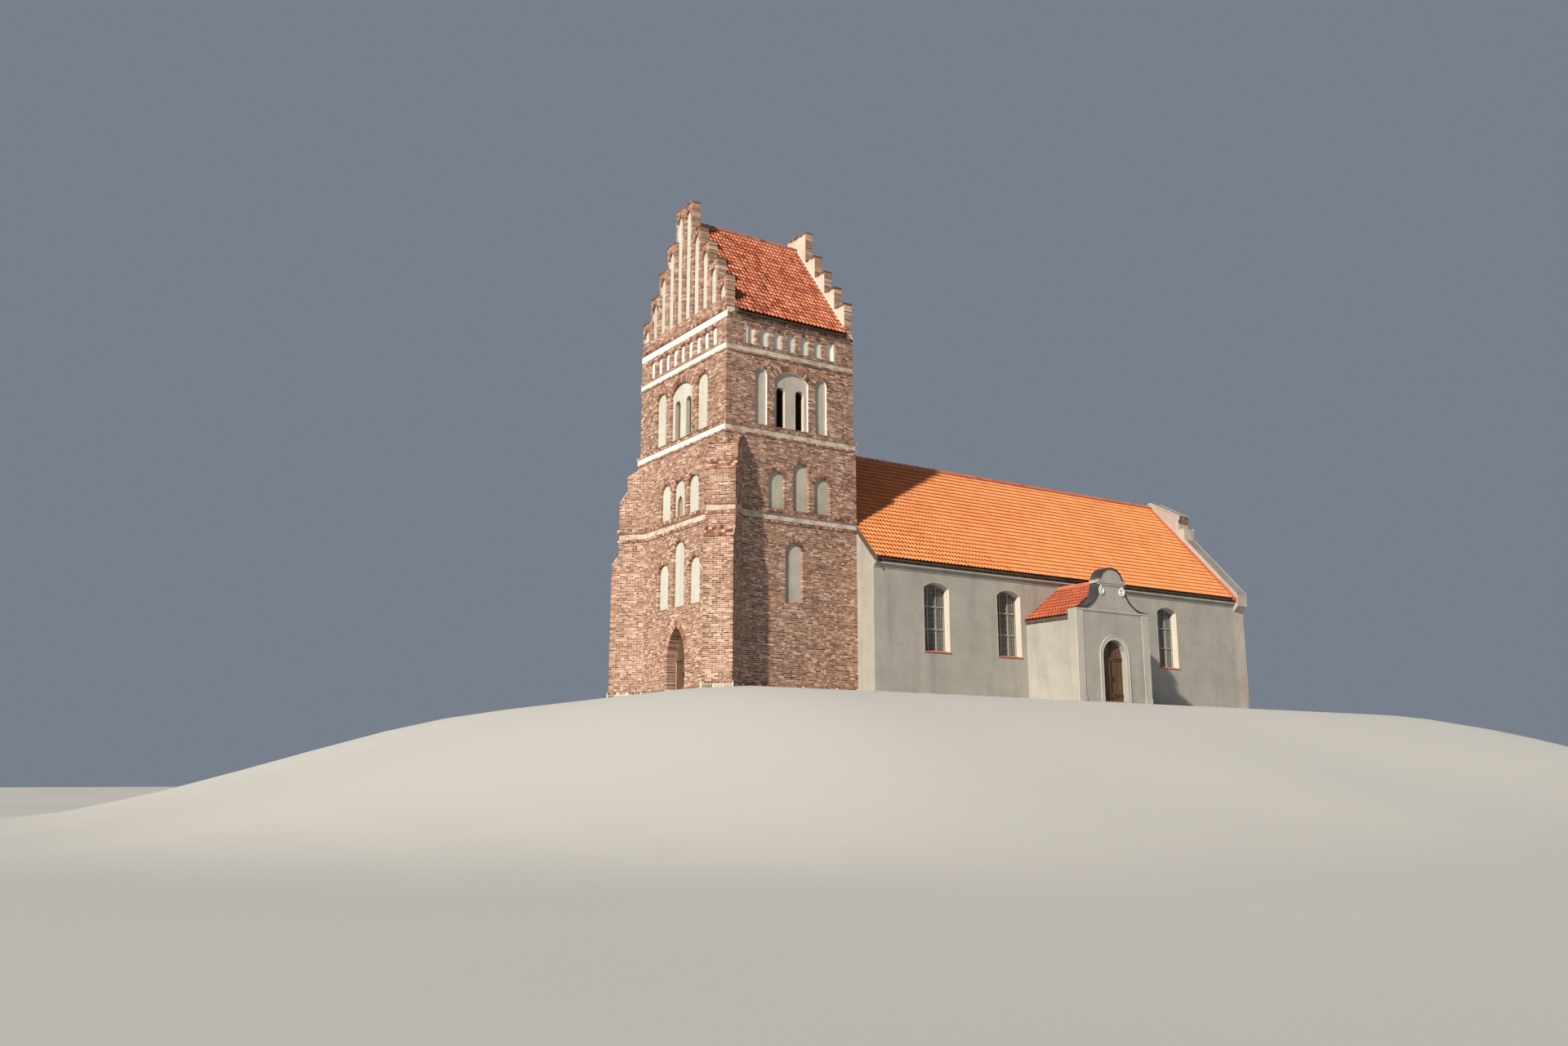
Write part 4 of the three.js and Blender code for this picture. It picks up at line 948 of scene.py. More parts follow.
# Plaster in the niches
SILL_TILE_THICK, SILL_TILE_WIDTH, SILL_TILE_JOINT = 0.03, 0.15, 0.008
SILL_OUT, SILL_LIFTS = 0.022, (0.036, -0.004)
PLASTER_EDGE, PLASTER_THICK, HOLE_GROW = 0.004, 0.012, 0.012
# How deep the back of the west lancet and the two parts of the belfry's lancets lie
LANCET_BACK, JAMB_BACK, LANCET_END = 0.245, 0.3, 1.06


def niche_plaster(heap, face, opening, holes=(), depth=NICHE_DEPTH):
    loops = [opening.outline(-PLASTER_EDGE)] + [hole.outline(HOLE_GROW, sill_drop=0.0) for hole in holes]
    heap.plate(face, loops, -depth - BEHIND, -depth + PLASTER_THICK)


def lining(heap, face, opening, back, front, thick=PLASTER_THICK):
    """Plaster on the sides, head and sill of an opening that goes through the wall."""
    heap.band(face, opening.outline(PLASTER_EDGE), opening.outline(-thick), back, front)


def sill_tile(heap, face, us, ns, sill, lifts, tone):
    """A tile on a sill, lifted by one height at its back and another at its front."""
    cells = [(us[c], ns[d], sill + lifts[d] + (SILL_TILE_THICK if r else 0.0)) for c, d, r in CELL]
    heap.solids(face, cells, tone)


def niche_sill(heap, face, opening):
    """Sloping tiles on the foot of a niche."""
    half = opening.half - PLASTER_EDGE
    number = max(2, round(opening.width / SILL_TILE_WIDTH))
    for a, b in divided(opening.centre - half, opening.centre + half, number):
        sill_tile(heap, face, (a, b - SILL_TILE_JOINT), (-NICHE_DEPTH, SILL_OUT), opening.sill, SILL_LIFTS,
                  RANDOM.uniform(0.2, 0.9))


plaster, side_plaster, pale_plaster, back, sills, jambs, dark_jambs = (Heap() for _ in range(7))
for niche in WEST_NICHES:
    niche_plaster(plaster, LOWER["west"], niche, [WEST_LANCET] if niche is LANCET_NICHE else [])
    niche_sill(sills, LOWER["west"], niche)
back.plate(LOWER["west"], [WEST_LANCET.outline(-PLASTER_EDGE)], -LANCET_BACK - BEHIND, -LANCET_BACK + BEHIND)
lining(back, LOWER["west"], WEST_LANCET, -LANCET_BACK, -NICHE_DEPTH + PLASTER_EDGE, 0.008)
for side_name in FLANKS:
    # The lower niches on the south and north take the darker side-niche plaster, partly painted shade
    for niche in SIDE_NICHES:
        niche_plaster(side_plaster, LOWER[side_name], niche)
        niche_sill(sills, LOWER[side_name], niche)
for side_name, face in UPPER.items():
    wide, lancets, beside, small = belfry_openings(side_name)
    # Niches off the west face take the darker plaster, partly painted shade
    rough = plaster if side_name == "west" else side_plaster
    for niche in (wide, *beside):
        niche_plaster(rough, face, niche, lancets if niche is wide else [])
        niche_sill(sills, face, niche)
        if side_name != "west":
            lining(pale_plaster, face, niche, -NICHE_DEPTH + 0.014, -0.003, 0.009)
    for niche in small:
        niche_plaster(pale_plaster, face, niche)
    for lancet in lancets:
        lining(jambs, face, lancet, -JAMB_BACK, -NICHE_DEPTH + 0.02)
        # Past the plastered outer jambs the linings are near black, as painted shade
        lining(dark_jambs, face, lancet, -LANCET_END, -JAMB_BACK - 0.002)
piece("tower_niche_plaster", plaster, NICHE)
piece("tower_side_niche_plaster", side_plaster, SIDE_NICHE)
piece("tower_top_niche_plaster", pale_plaster, WHITE)
piece("tower_west_lancet_plaster", back, BACK)
piece("tower_niche_sills", sills, BRICK)
piece("belfry_lancet_jambs", jambs, CREAM)
piece("belfry_lancet_linings", dark_jambs, LINING_SHADE)


# The stepped gables
CAP, CAP_BRICKS = 0.062, 7
PANEL_WIDTH, PANEL_FOOT, PANEL_DROP, PANEL_DEPTH = 0.48, 17.25, 0.35, 0.1
CAP_OUT, CAP_END, CAP_JOINT_HALF, PANEL_SIDE = 0.03, 0.02, 0.004, 0.003
# The limewash: where it ends at the sides, how far it goes past the roof's line, and its two faces
SKIN_EDGE, SKIN_LAP, SKIN_FACES = SETBACK + 0.02, 0.1, (-0.005, 0.014)
ROOF_CLEAR, SKIN_FOOT = 0.25, BELFRY_TOP + 0.05


def gable_outline(lower=0.0):
    south = [(SETBACK, BELFRY_TOP)]
    for half, top in GABLE_STEPS:
        south += [(MIDDLE - half, top - lower), (MIDDLE - half + GABLE_STEP, top - lower)]
    return np.array(south[:-1] + [(WIDTH - y, z) for y, z in south[:-1]][::-1])


def roof_height(y, lift):
    """The height of the tower's roof over y, with a lift."""
    return TOWER_RIDGE + lift - abs(MIDDLE - y) * TOWER_SLOPE


def stepped_gable(name):
    outer = UPPER[name]
    along, out = outer.axes[:2]
    inner = Face(outer.origin - out * GABLE_WALL, along, -out)
    niches = [Opening(MIDDLE + way * (half - GABLE_STEP / 2), PANEL_WIDTH, PANEL_FOOT, top - PANEL_DROP,
                      pointed=True, ring=THIN_RING, deep=PANEL_DEPTH)
              for half, top in GABLE_STEPS for way in SIDES]
    core, bricks, limed, panels, caps = (Heap() for _ in range(5))
    core.plate(outer, [gable_outline(CAP)], -GABLE_WALL, -PANEL_DEPTH)
    core.plate(outer, [gable_outline(CAP)] + [niche.outline() for niche in niches], -PANEL_DEPTH, 0.0)
    piece(f"tower_{name}_gable_core", core, MORTAR, [f"tower_{name}_gable"])
    row = 0
    foot = GABLE_STRING
    for half, top in GABLE_STEPS:
        for row, (z0, z1) in enumerate(courses((foot, top - CAP)), row + 1):
            end = HEADER if row % 2 else STRETCHER
            if z1 > PANEL_FOOT and z0 < top - PANEL_DROP:
                end = (GABLE_STEP - PANEL_WIDTH) / 2 - PANEL_SIDE
            reach = half - end - JOINT
            first, last = MIDDLE - reach, MIDDLE + reach
            lay(bricks, outer, z0, z1, row, spans(first, last, z0, z1, niches))
            roof = max(0.0, (TOWER_RIDGE + ROOF_CLEAR - z0) / TOWER_SLOPE)
            if reach - roof > LEAST_GAP:
                lay(bricks, inner, z0, z1, row, [(first, MIDDLE - roof), (MIDDLE + roof, last)])
            for way in SIDES:
                ends = MIDDLE + way * (half + RANDOM.uniform(0.0, 0.004)), MIDDLE + way * (half - end)
                bricks.boxes(outer, ends, (-GABLE_WALL - END_PROUD, END_PROUD), bedded(z0, z1),
                             brick_tones(1))
        # Cap bricks along the top of the step
        for way in SIDES:
            for a, b in divided(half - GABLE_STEP, half + CAP_END, CAP_BRICKS):
                ends = MIDDLE + way * (a + CAP_JOINT_HALF), MIDDLE + way * (b - CAP_JOINT_HALF)
                heights = top - CAP, top + RANDOM.uniform(-0.004, 0.0)
                caps.boxes(outer, ends, (-GABLE_WALL - CAP_OUT, CAP_OUT), heights, brick_tones(1))
        foot = top - CAP
    for niche in niches:
        arch(bricks, outer, niche)
        niche_plaster(panels, outer, niche, (), PANEL_DEPTH)
    # The inner face is limewashed above the roof, in a skin that follows the steps
    skin = [(y, max(z, roof_height(y, SKIN_LAP))) for y, z in gable_outline(CAP + SKIN_LAP)]
    skin = [(y, z) for y, z in skin if z > SKIN_FOOT]
    skin += [(y, roof_height(y, -SKIN_LAP)) for y in (WIDTH - SKIN_EDGE, MIDDLE, SKIN_EDGE)]
    limed.plate(inner, [[(min(max(y, SKIN_EDGE), WIDTH - SKIN_EDGE), z) for y, z in skin]], *SKIN_FACES)
    piece(f"tower_{name}_gable_bricks", bricks, BRICK)
    piece(f"tower_{name}_gable_caps", caps, DARK_BRICK)
    piece(f"tower_{name}_gable_panels", panels, NICHE)
    piece(f"tower_{name}_gable_limewash", limed, CREAM)


for side_name in ENDS:
    stepped_gable(side_name)


# Pantiled roofs. An outline on a roof goes by the distance from its middle and the lift over its plane.
PANTILE = np.array([(-0.012, 0.034), (0.014, 0.058), (0.044, 0.056), (0.078, 0.018), (0.112, 0.0),
                    (0.155, 0.004), (0.197, 0.024)])
TILE_COVER, TILE_COURSE, TILE_THICK, TILE_LIFT, TILE_LAP = 0.2, 0.31, 0.024, 0.07, 0.07
TILE_BED, TILES_START, RIDGE_STEP = 0.03, 0.12, 0.36
TILE_SMOOTH, RIDGE_SMOOTH, RELIEF_SMOOTH = 62, 40, 50


def side_run(heap, section, way, points, low, high):
    """An outline on one side of a section, by distance from the middle and height, run from low to high."""
    heap.plate(section, [[(way * u, z) for u, z in points]], low, high)


class Roof:
    """A gabled roof across a section's plane: its eaves' distance off the middle, and its two heights."""

    def __init__(self, section, half, eaves_z, ridge_z):
        self.section, self.half, self.eaves_z, self.ridge_z = section, half, eaves_z, ridge_z
        self.slope = (ridge_z - eaves_z) / half
        self.fall = math.hypot(1, self.slope)

    def run(self, heap, way, outline, low, high):
        points = [(u, self.ridge_z - u * self.slope + lift) for u, lift in outline]
        side_run(heap, self.section, way, points, low, high)

    def strip(self, heap, way, ends, lifts, start, stop=0.0):
        """A strip up the slope, between two distances off the middle and two lifts square to the slope."""
        low, high = (lift * self.fall for lift in lifts)
        outline = [(start, low), (start, high), (stop, high), (stop, low)]
        self.run(heap, way, outline, *ends)

    def tiles(self, heap, way, ends, start, tones, wobble=0.8, deep=1.0):
        """Interlocking tiles with a roll on one side, lapped row over row, each set a little differently."""
        across, along = self.section.axes[:2]
        up = (np.array([0, 0, self.ridge_z - self.eaves_z]) - way * self.half * across)
        up /= np.linalg.norm(up)
        out = np.cross(along, up)
        out = out if out[2] > 0 else -out
        eaves = self.section.place((way * self.half, ends[0], self.eaves_z))
        face = Face(eaves + up * start - out * TILE_BED, along, out, up)
        length, rise = ends[1] - ends[0], self.half * self.fall - start - 0.05
        columns, rows = round(length / TILE_COVER), round(rise / TILE_COURSE)
        cover, course = length / columns, rise / rows
        number, points = columns * rows, len(PANTILE)
        row, column = np.divmod(np.arange(number), columns)
        lap = np.where(row < rows - 1, TILE_LAP, 0.0)
        side, slip, raised, turn = (RANDOM.normal(0, most * wobble, number)
                                    for most in (0.0022, 0.005, 0.002, 0.006))
        slip = np.where(row == 0, np.abs(slip), slip)
        verts = np.zeros((number, 4, points, 3))
        for k, (end, drop) in enumerate(((0, 0), (1, 0), (1, 1), (0, 1))):
            shift = column * cover + side + turn * (0.3 if end else -0.05)
            verts[:, k, :, 0] = shift[:, None] + PANTILE[:, 0] / TILE_COVER * cover
            lift = (1 - end) * (TILE_LIFT + raised) - TILE_THICK * drop
            verts[:, k, :, 1] = PANTILE[:, 1] * deep + lift[:, None]
            verts[:, k, :, 2] = (row * course + slip + (course + lap) * end)[:, None]
        here, caps = np.arange(points - 1), np.arange(4) * points
        faces = [np.column_stack([here + a, here + 1 + a, here + 1 + b, here + b])
                 for a, b in zip(caps, np.roll(caps, -1))]
        faces = np.concatenate(faces + [[caps, caps[::-1] + points - 1]])
        tone = np.repeat(np.clip(RANDOM.normal(*tones, number), 0, 1), len(faces)).reshape(number, -1)
        # The lower end faces get a tone of -1, which the tile finish darkens as painted shade
        tone[:, 3 * len(here):4 * len(here)] = -1.0
        faces = (faces + 4 * points * np.arange(number)[:, None, None]).reshape(-1, 4)
        heap.add(face.place(verts.reshape(-1, 3)), [faces], tone.ravel(), not face.turned)


def circle(number):
    return np.linspace(0, 2 * math.pi, number, endpoint=False)


def outward(face, rings):
    """Rings with their points in the order that turns a sweep's faces outwards."""
    return np.array(rings)[:, ::1 if face.turned else -1]


def ridge_tiles(heap, start, along, length, radius):
    """Half-round tiles along a ridge, each with a wider collar that laps the last."""
    face = Face(start, along, np.cross((0, 0, 1), along))
    number = round(length / RIDGE_STEP)
    step = length / number
    angles = np.linspace(-0.1, math.pi + 0.1, 11)
    for k in range(number):
        wobble = RANDOM.uniform(-0.004, 0.004)
        rings = []
        for part, wide in ((0.0, 1.1), (0.07, 1.1), (0.08, 1.0), (1.0, 0.94)):
            reach = step * (k + part) + (0.04 if part == 1.0 and k < number - 1 else 0.0)
            outer = radius * wide + wobble
            sides = ((outer, angles), (outer - 0.016, angles[::-1]))
            ring = [(reach, r * math.cos(a), r * math.sin(a)) for r, turn in sides for a in turn]
            rings.append(face.place(ring))
        heap.sweep(outward(face, rings), np.clip(RANDOM.normal(0.45, 0.2), 0, 1))


def ridge_bed(heap, roof, half, low, high):
    """Mortar that fills the space between the tiles and the ridge tiles on them."""
    ridge_z = roof.ridge_z
    side = [(half, ridge_z - half * roof.slope - 0.06), (half, ridge_z + 0.005), (0.05, ridge_z + half * 0.6)]
    heap.plate(roof.section, [side + [(-u, z) for u, z in side][::-1]], low, high)


ALONG_RIDGE = Face((0, MIDDLE, 0), (0, 1, 0), (1, 0, 0))
ACROSS_PORCH = Face((PORCH_MIDDLE, 0, 0), (1, 0, 0), (0, 1, 0))
TOWER_HALF = MIDDLE - TOWER_EAVES
NAVE_ROOF = Roof(ALONG_RIDGE, MIDDLE - NAVE_EAVES_Y, NAVE_EAVES_Z, NAVE_RIDGE)
TOWER_ROOF = Roof(ALONG_RIDGE, TOWER_HALF, TOWER_RIDGE - TOWER_HALF * TOWER_SLOPE, TOWER_RIDGE)
PORCH_ROOF = Roof(ACROSS_PORCH, PORCH_EAVES, PORCH_EAVES_Z, PORCH_RIDGE)
GABLE_INNER = SETBACK + GABLE_WALL
VERGE_STRIP = 0.26


def main_slope(part, roof, way, ends, verge_width, lower, finish, tones, wobble, deep):
    """One slope of nave or tower: a boarded deck in the solid's place and the tiles on it."""
    name, slot = "south" if way < 0 else "north", f"{part}_tile"
    deck, tiles = Heap(), Heap()
    upper = 0.05 * roof.fall
    outline = [(roof.half - 0.1, -upper), (0.0, -upper), (0.0, -lower), (roof.half - 0.28, -lower),
               (roof.half - 0.1, -upper - 0.04)]
    roof.run(deck, way, outline, ends[0] + 0.002, ends[1] - 0.002)
    piece(f"{part}_roof_deck_{name}", deck, BOARDS, [f"{part}_roof_{name}"])
    roof.tiles(tiles, way, (ends[0], ends[1] - verge_width), TILES_START, tones, wobble, deep)
    piece(f"{part}_roof_tiles_{name}", tiles, finish, smooth=TILE_SMOOTH)


for way in SIDES:
    main_slope("nave", NAVE_ROOF, way, (LENGTH + 0.02, NAVE_END - 0.002), VERGE_STRIP - 0.04,
               0.22 * NAVE_ROOF.fall, NAVE_TILE, (0.6, 0.16), 0.35, 1.05)
    main_slope("tower", TOWER_ROOF, way, (GABLE_INNER + 0.012, LENGTH - GABLE_INNER - 0.012), 0.0, 0.36,
               TOWER_TILE, (0.48, 0.3), 1.0, 1.3)
nave_ridge, tower_ridge, bedding = Heap(), Heap(), Heap()
ridge_bed(bedding, NAVE_ROOF, 0.118, LENGTH + 0.03, NAVE_END - 0.01)
ridge_bed(bedding, TOWER_ROOF, 0.118, GABLE_INNER + 0.02, LENGTH - GABLE_INNER - 0.02)
ridge_tiles(nave_ridge, (LENGTH + 0.02, MIDDLE, NAVE_RIDGE), (1, 0, 0), NAVE_END - LENGTH - 0.04, 0.135)
ridge_tiles(tower_ridge, (GABLE_INNER + 0.01, MIDDLE, TOWER_RIDGE), (1, 0, 0),
            LENGTH - 2 * GABLE_INNER - 0.02, 0.13)
piece("nave_ridge_tiles", nave_ridge, RIDGE_TILE, ["nave_roof_ridge"], RIDGE_SMOOTH)
piece("tower_ridge_tiles", tower_ridge, TOWER_TILE, ["tower_roof_ridge"], RIDGE_SMOOTH)


# Nave: window reveals, frames and bars
NAVE = wall_planes(south=NAVE_OUTER, north=WIDTH - NAVE_OUTER, east=EAST_FACE)
WINDOW_SILL, BAR_STEP, BAR_ENDS = 2.3, 0.226, 0.7
TRANSOMS, MULLIONS, UPRIGHT_BARS = (3.36, 4.38), (-0.25, 0.25), (-0.56, -0.4, -0.08, 0.08, 0.4, 0.56)
SILL_TILES, SILL_TILE, WINDOW_WIDTH, WINDOW_CROWN, WINDOW_RISE = 10, 0.156, 1.5, 5.45, 0.265
# Half widths of posts, rails and bars, and how far behind and before the pane they reach
POST_HALF, RAIL_HALF, BAR_HALF, FRAME_EDGES = 0.032, 0.035, 0.007, (-0.018, -0.085)
POST_DEPTHS, RAIL_DEPTHS = (-0.01, 0.045), (-0.01, 0.05)
BAR_DEPTHS, FRAME_DEPTHS = (-0.004, 0.014), (-0.02, 0.06)
PANE_DEEP, EAST_PANE_DEEP, REVEAL_THICK, REVEAL_OUT = 0.4, 0.34, 0.016, 0.006


def nave_windows(name):
    face = NAVE[name]
    pane = -EAST_PANE_DEEP if name == "east" else -PANE_DEEP
    reveal, frames, sills = Heap(), Heap(), Heap()
    for centre in [MIDDLE] if name == "east" else NAVE_WINDOWS:
        opening = Opening(centre, WINDOW_WIDTH, WINDOW_SILL, WINDOW_CROWN, WINDOW_RISE)

        def upright(u, half, depths):
            heights = WINDOW_SILL + 0.04, opening.top(u) - 0.05
            frames.boxes(face, (u - half, u + half), (pane + depths[0], pane + depths[1]), heights)

        def level(z, half, depths):
            ends = centre - BAR_ENDS, centre + BAR_ENDS
            frames.boxes(face, ends, (pane + depths[0], pane + depths[1]), (z - half, z + half))

        lining(reveal, face, opening, pane + 0.01, REVEAL_OUT, REVEAL_THICK)
        outer, inner = (opening.outline(edge) for edge in FRAME_EDGES)
        frames.band(face, outer, inner, pane + FRAME_DEPTHS[0], pane + FRAME_DEPTHS[1])
        for u in MULLIONS:
            upright(centre + u, POST_HALF, POST_DEPTHS)
        for z in TRANSOMS:
            level(z, RAIL_HALF, RAIL_DEPTHS)
        for z in WINDOW_SILL + BAR_STEP * np.arange(1, 14):
            if min(abs(z - transom) for transom in TRANSOMS) > 0.06:
                level(z, BAR_HALF, BAR_DEPTHS)
        for u in UPRIGHT_BARS:
            upright(centre + u, BAR_HALF, BAR_DEPTHS)
        for k in range(SILL_TILES):
            left = centre + (k - SILL_TILES / 2) * SILL_TILE
            sill_tile(sills, face, (left, left + 0.15), (pane + 0.02, 0.045), WINDOW_SILL, (0.085, -0.02),
                      RANDOM.uniform(0.2, 0.8))
    piece(f"nave_window_reveals_{name}", reveal, CREAM)
    piece(f"nave_window_frames_{name}", frames, FRAME_WOOD)
    piece(f"nave_window_sills_{name}", sills, RIDGE_TILE)


for side_name in NAVE:
    nave_windows(side_name)


# Nave: the cornice's lines and the plinth
NAVE_HALF = MIDDLE - NAVE_OUTER
# Each line of the cornice has how far out and how high its middle is, and its radius
CORNICE_LINES, LINE_BACK = ((0.0, 5.86, 0.035), (0.05, 5.955, 0.022), (0.12, 6.03, 0.03)), 0.02
PLINTH_SHAPE = [(-0.05, 0.0), (0.06, 0.0), (0.06, 0.42), (0.03, 0.47), (-0.05, 0.49)]
mouldings, plinth = Heap(), Heap()
for way in SIDES:
    for out, z, radius in CORNICE_LINES:
        u = NAVE_HALF + out
        points = [(u + radius * math.cos(a), z + radius * math.sin(a))
                  for a in np.linspace(-math.pi / 2, math.pi / 2, 7)]
        points = [(u - LINE_BACK, z - radius), *points, (u - LINE_BACK, z + radius)]
        side_run(mouldings, ALONG_RIDGE, way, points, LENGTH + 0.002, NAVE_END)
    breaks = [LENGTH, PORCH_MIDDLE - PORCH_HALF, PORCH_MIDDLE + PORCH_HALF, EAST_FACE]
    for x0, x1 in (breaks[:2], breaks[2:]) if way < 0 else (breaks[::3],):
        side_run(plinth, ALONG_RIDGE, way, [(NAVE_HALF + u, z) for u, z in PLINTH_SHAPE], x0, x1)
plinth.boxes(NAVE["east"], (NAVE_OUTER - 0.06, WIDTH - NAVE_OUTER + 0.06), (-0.05, 0.06), (0.0, 0.45))
piece("nave_cornice_lines", mouldings, GREY, smooth=RELIEF_SMOOTH)
piece("nave_plinth", plinth, GREY)


# The shaped east gable: slabs and mouldings
SLAB_JOINT_HALF, SLAB_BED, SLAB_LIFT = 0.003, 0.02, 0.006


def coping(heap, path, x0, x1, thick, step):
    """Slabs end to end along a path in Y and Z, from x0 to x1 across the wall."""
    for (y0, z0), (y1, z1) in stretches_of(path):
        long = math.hypot(y1 - y0, z1 - z0)
        along = np.array([0, y1 - y0, z1 - z0]) / long
        face = Face((0, y0, z0), along, (1, 0, 0), np.cross((1, 0, 0), along))
        number = max(1, round(long / step))
        edges = np.linspace(0, long, number + 1)
        lift = RANDOM.uniform(0, SLAB_LIFT, number)
        heap.boxes(face, (edges[:-1] + SLAB_JOINT_HALF, edges[1:] - SLAB_JOINT_HALF), (x0, x1),
                   (-SLAB_BED, thick + lift), RANDOM.uniform(0.1, 0.9, number))


SHOULDER_Y, CORBELS, CORBEL_STEP, CORBEL_WIDTH = 1.93, 26, 0.15, 0.07
CORBEL_START, CORBEL_HEIGHTS = 2.13, (11.03, 11.16)
END_BRICK_STEP, END_BRICK_LONG, END_BRICK_HIGH, END_COURSE, END_FOOT = 0.155, 0.14, 0.07, 0.1, 11.06
# Each line of the pediment has how far in from the corners it starts, its foot and its top
GABLE_LINES = ((1.66, 10.6, 10.67), (2.04, 11.16, 11.24), (1.95, 11.34, 11.4))
SLAB_THICK, SLAB_LONG, SLAB_EDGE_THICK, SLAB_EDGE_LONG, SLAB_EDGE_WIDE = 0.024, 0.8, 0.036, 1.4, 0.05
SLAB_START, SLAB_END = NAVE_END + 0.02, EAST_FACE + 0.01
RAKE = [(-1.47, 6.53), (1.7, 9.991)]
PEDIMENT = [(SHOULDER_Y, 11.385), (MIDDLE, 12.51), (WIDTH - SHOULDER_Y, 11.385)]
gable_cope, gable_slabs, gable_lines, corbels = (Heap() for _ in range(4))
for path in (RAKE, [(WIDTH - y, z) for y, z in RAKE][::-1], PEDIMENT):
    coping(gable_slabs, path, SLAB_START, SLAB_END, SLAB_THICK, SLAB_LONG)
    for x0, x1 in ((SLAB_START - SLAB_EDGE_WIDE, SLAB_START), (SLAB_END, SLAB_END + SLAB_EDGE_WIDE)):
        coping(gable_cope, path, x0, x1, SLAB_EDGE_THICK, SLAB_EDGE_LONG)
for inset, *heights in GABLE_LINES:
    gable_lines.boxes(PLAN, (EAST_FACE - 0.05, EAST_FACE + 0.06), (inset, WIDTH - inset), heights)
for y in CORBEL_START + CORBEL_STEP * np.arange(CORBELS):
    corbels.boxes(PLAN, (EAST_FACE - 0.03, EAST_FACE + 0.035), (y, y + CORBEL_WIDTH), CORBEL_HEIGHTS,
                  RANDOM.uniform(0, 1))
# Bricks stepping out under the foot of the pediment, at its two ends
for row in range(3):
    z = END_FOOT + row * END_COURSE
    for edge, way in ((SHOULDER_Y, -1), (WIDTH - SHOULDER_Y, 1)):
        for x in np.arange(NAVE_END + 0.02, EAST_FACE - 0.1, END_BRICK_STEP):
            ys = edge - way * 0.16, edge + way * (row * 0.03 - 0.085)
            corbels.boxes(PLAN, (x, x + END_BRICK_LONG), ys, (z, z + END_BRICK_HIGH), RANDOM.uniform(0, 1))
# The coping slabs' dark colour is painted shade
piece("east_gable_coping", gable_slabs, COPING_SHADE)
piece("east_gable_coping_edges", gable_cope, TRIM)
piece("east_gable_mouldings", gable_lines, CREAM)
piece("east_gable_corbels", corbels, DARK_BRICK)


# Verges, mortar fillets where roofs meet walls, and rafter ends in the shade of the eaves
# A fillet has its thickness and, on the nave, its two lifts over the tiles' plane, on the tower one
NAVE_FILLETS, TOWER_FILLETS = ((0.075, (-0.02, 0.065)), (0.03, (0.03, 0.12))), ((0.1, 0.0), (0.035, 0.1))
RAFTERS, RAFTER_START, RAFTER_STEP, RAFTER_WIDTH = 34, 0.35, 0.72, 0.12
verge, fillets, verge_edge, rafters = (Heap() for _ in range(4))
fall = NAVE_ROOF.fall
start = NAVE_ROOF.half - 0.035
for way in SIDES:
    NAVE_ROOF.strip(verge, way, (NAVE_END - VERGE_STRIP, NAVE_END + 0.001), (-0.045, 0.056), start)
    NAVE_ROOF.strip(verge_edge, way, (LENGTH + 0.003, LENGTH + 0.05), (-0.16, 0.03), start, MIDDLE)
    for thick, lifts in NAVE_FILLETS:
        NAVE_ROOF.strip(fillets, way, (LENGTH + 0.003, LENGTH + thick), lifts, MIDDLE - 0.02)
    for x, inward in ((GABLE_INNER, 1), (LENGTH - GABLE_INNER, -1)):
        for thick, lift in TOWER_FILLETS:
            ends = sorted([x + inward * 0.002, x + inward * thick])
            lifts = (lift - 0.02) / TOWER_ROOF.fall, lift / TOWER_ROOF.fall + 0.06
            TOWER_ROOF.strip(fillets, way, ends, lifts, TOWER_HALF - 0.34)
    low, high = NAVE_ROOF.half - 0.13, NAVE_HALF + 0.12
    rafter = [(low, -0.1 * fall), (low, -0.055 * fall), (high, -0.055 * fall), (high, -0.2 * fall)]
    for x in LENGTH + RAFTER_START + RAFTER_STEP * np.arange(RAFTERS):
        NAVE_ROOF.run(rafters, way, rafter, x, x + RAFTER_WIDTH)
piece("nave_verge_strip", verge, VERGE)
piece("nave_west_verge", verge_edge, BOARDS)
piece("roof_mortar_fillets", fillets, CREAM)
piece("nave_rafter_ends", rafters, BOARDS)


# South porch
PORCH = Face((PORCH_MIDDLE, PORCH_FRONT, 0), (1, 0, 0), (0, -1, 0))
for way, side_name in zip(SIDES, ENDS):
    deck, tiles = Heap(), Heap()
    lifts = -0.05 * PORCH_ROOF.fall, -0.158 * PORCH_ROOF.fall
    half = PORCH_EAVES - 0.08
    outline = [(half, lifts[0]), (0.0, lifts[0]), (0.0, lifts[1]), (half, lifts[1])]
    PORCH_ROOF.run(deck, way, outline, PORCH_BACK + 0.002, NAVE_OUTER - 0.002)
    piece(f"porch_deck_{side_name}", deck, BOARDS, [f"porch_roof_{side_name}"])
    PORCH_ROOF.tiles(tiles, way, (PORCH_BACK + 0.005, NAVE_OUTER - 0.005), 0.06, (0.35, 0.18))
    piece(f"porch_tiles_{side_name}", tiles, RIDGE_TILE, smooth=TILE_SMOOTH)
porch_ridge = Heap()
ridge_tiles(porch_ridge, (PORCH_MIDDLE, PORCH_BACK + 0.01, PORCH_RIDGE), (0, 1, 0),
            NAVE_OUTER - PORCH_BACK - 0.02, 0.11)
piece("porch_ridge_tiles", porch_ridge, RIDGE_TILE, smooth=RIDGE_SMOOTH)
ridge_bed(bedding, PORCH_ROOF, 0.098, PORCH_BACK + 0.01, NAVE_OUTER - 0.02)
piece("ridge_mortar", bedding, RIDGE_MORTAR)

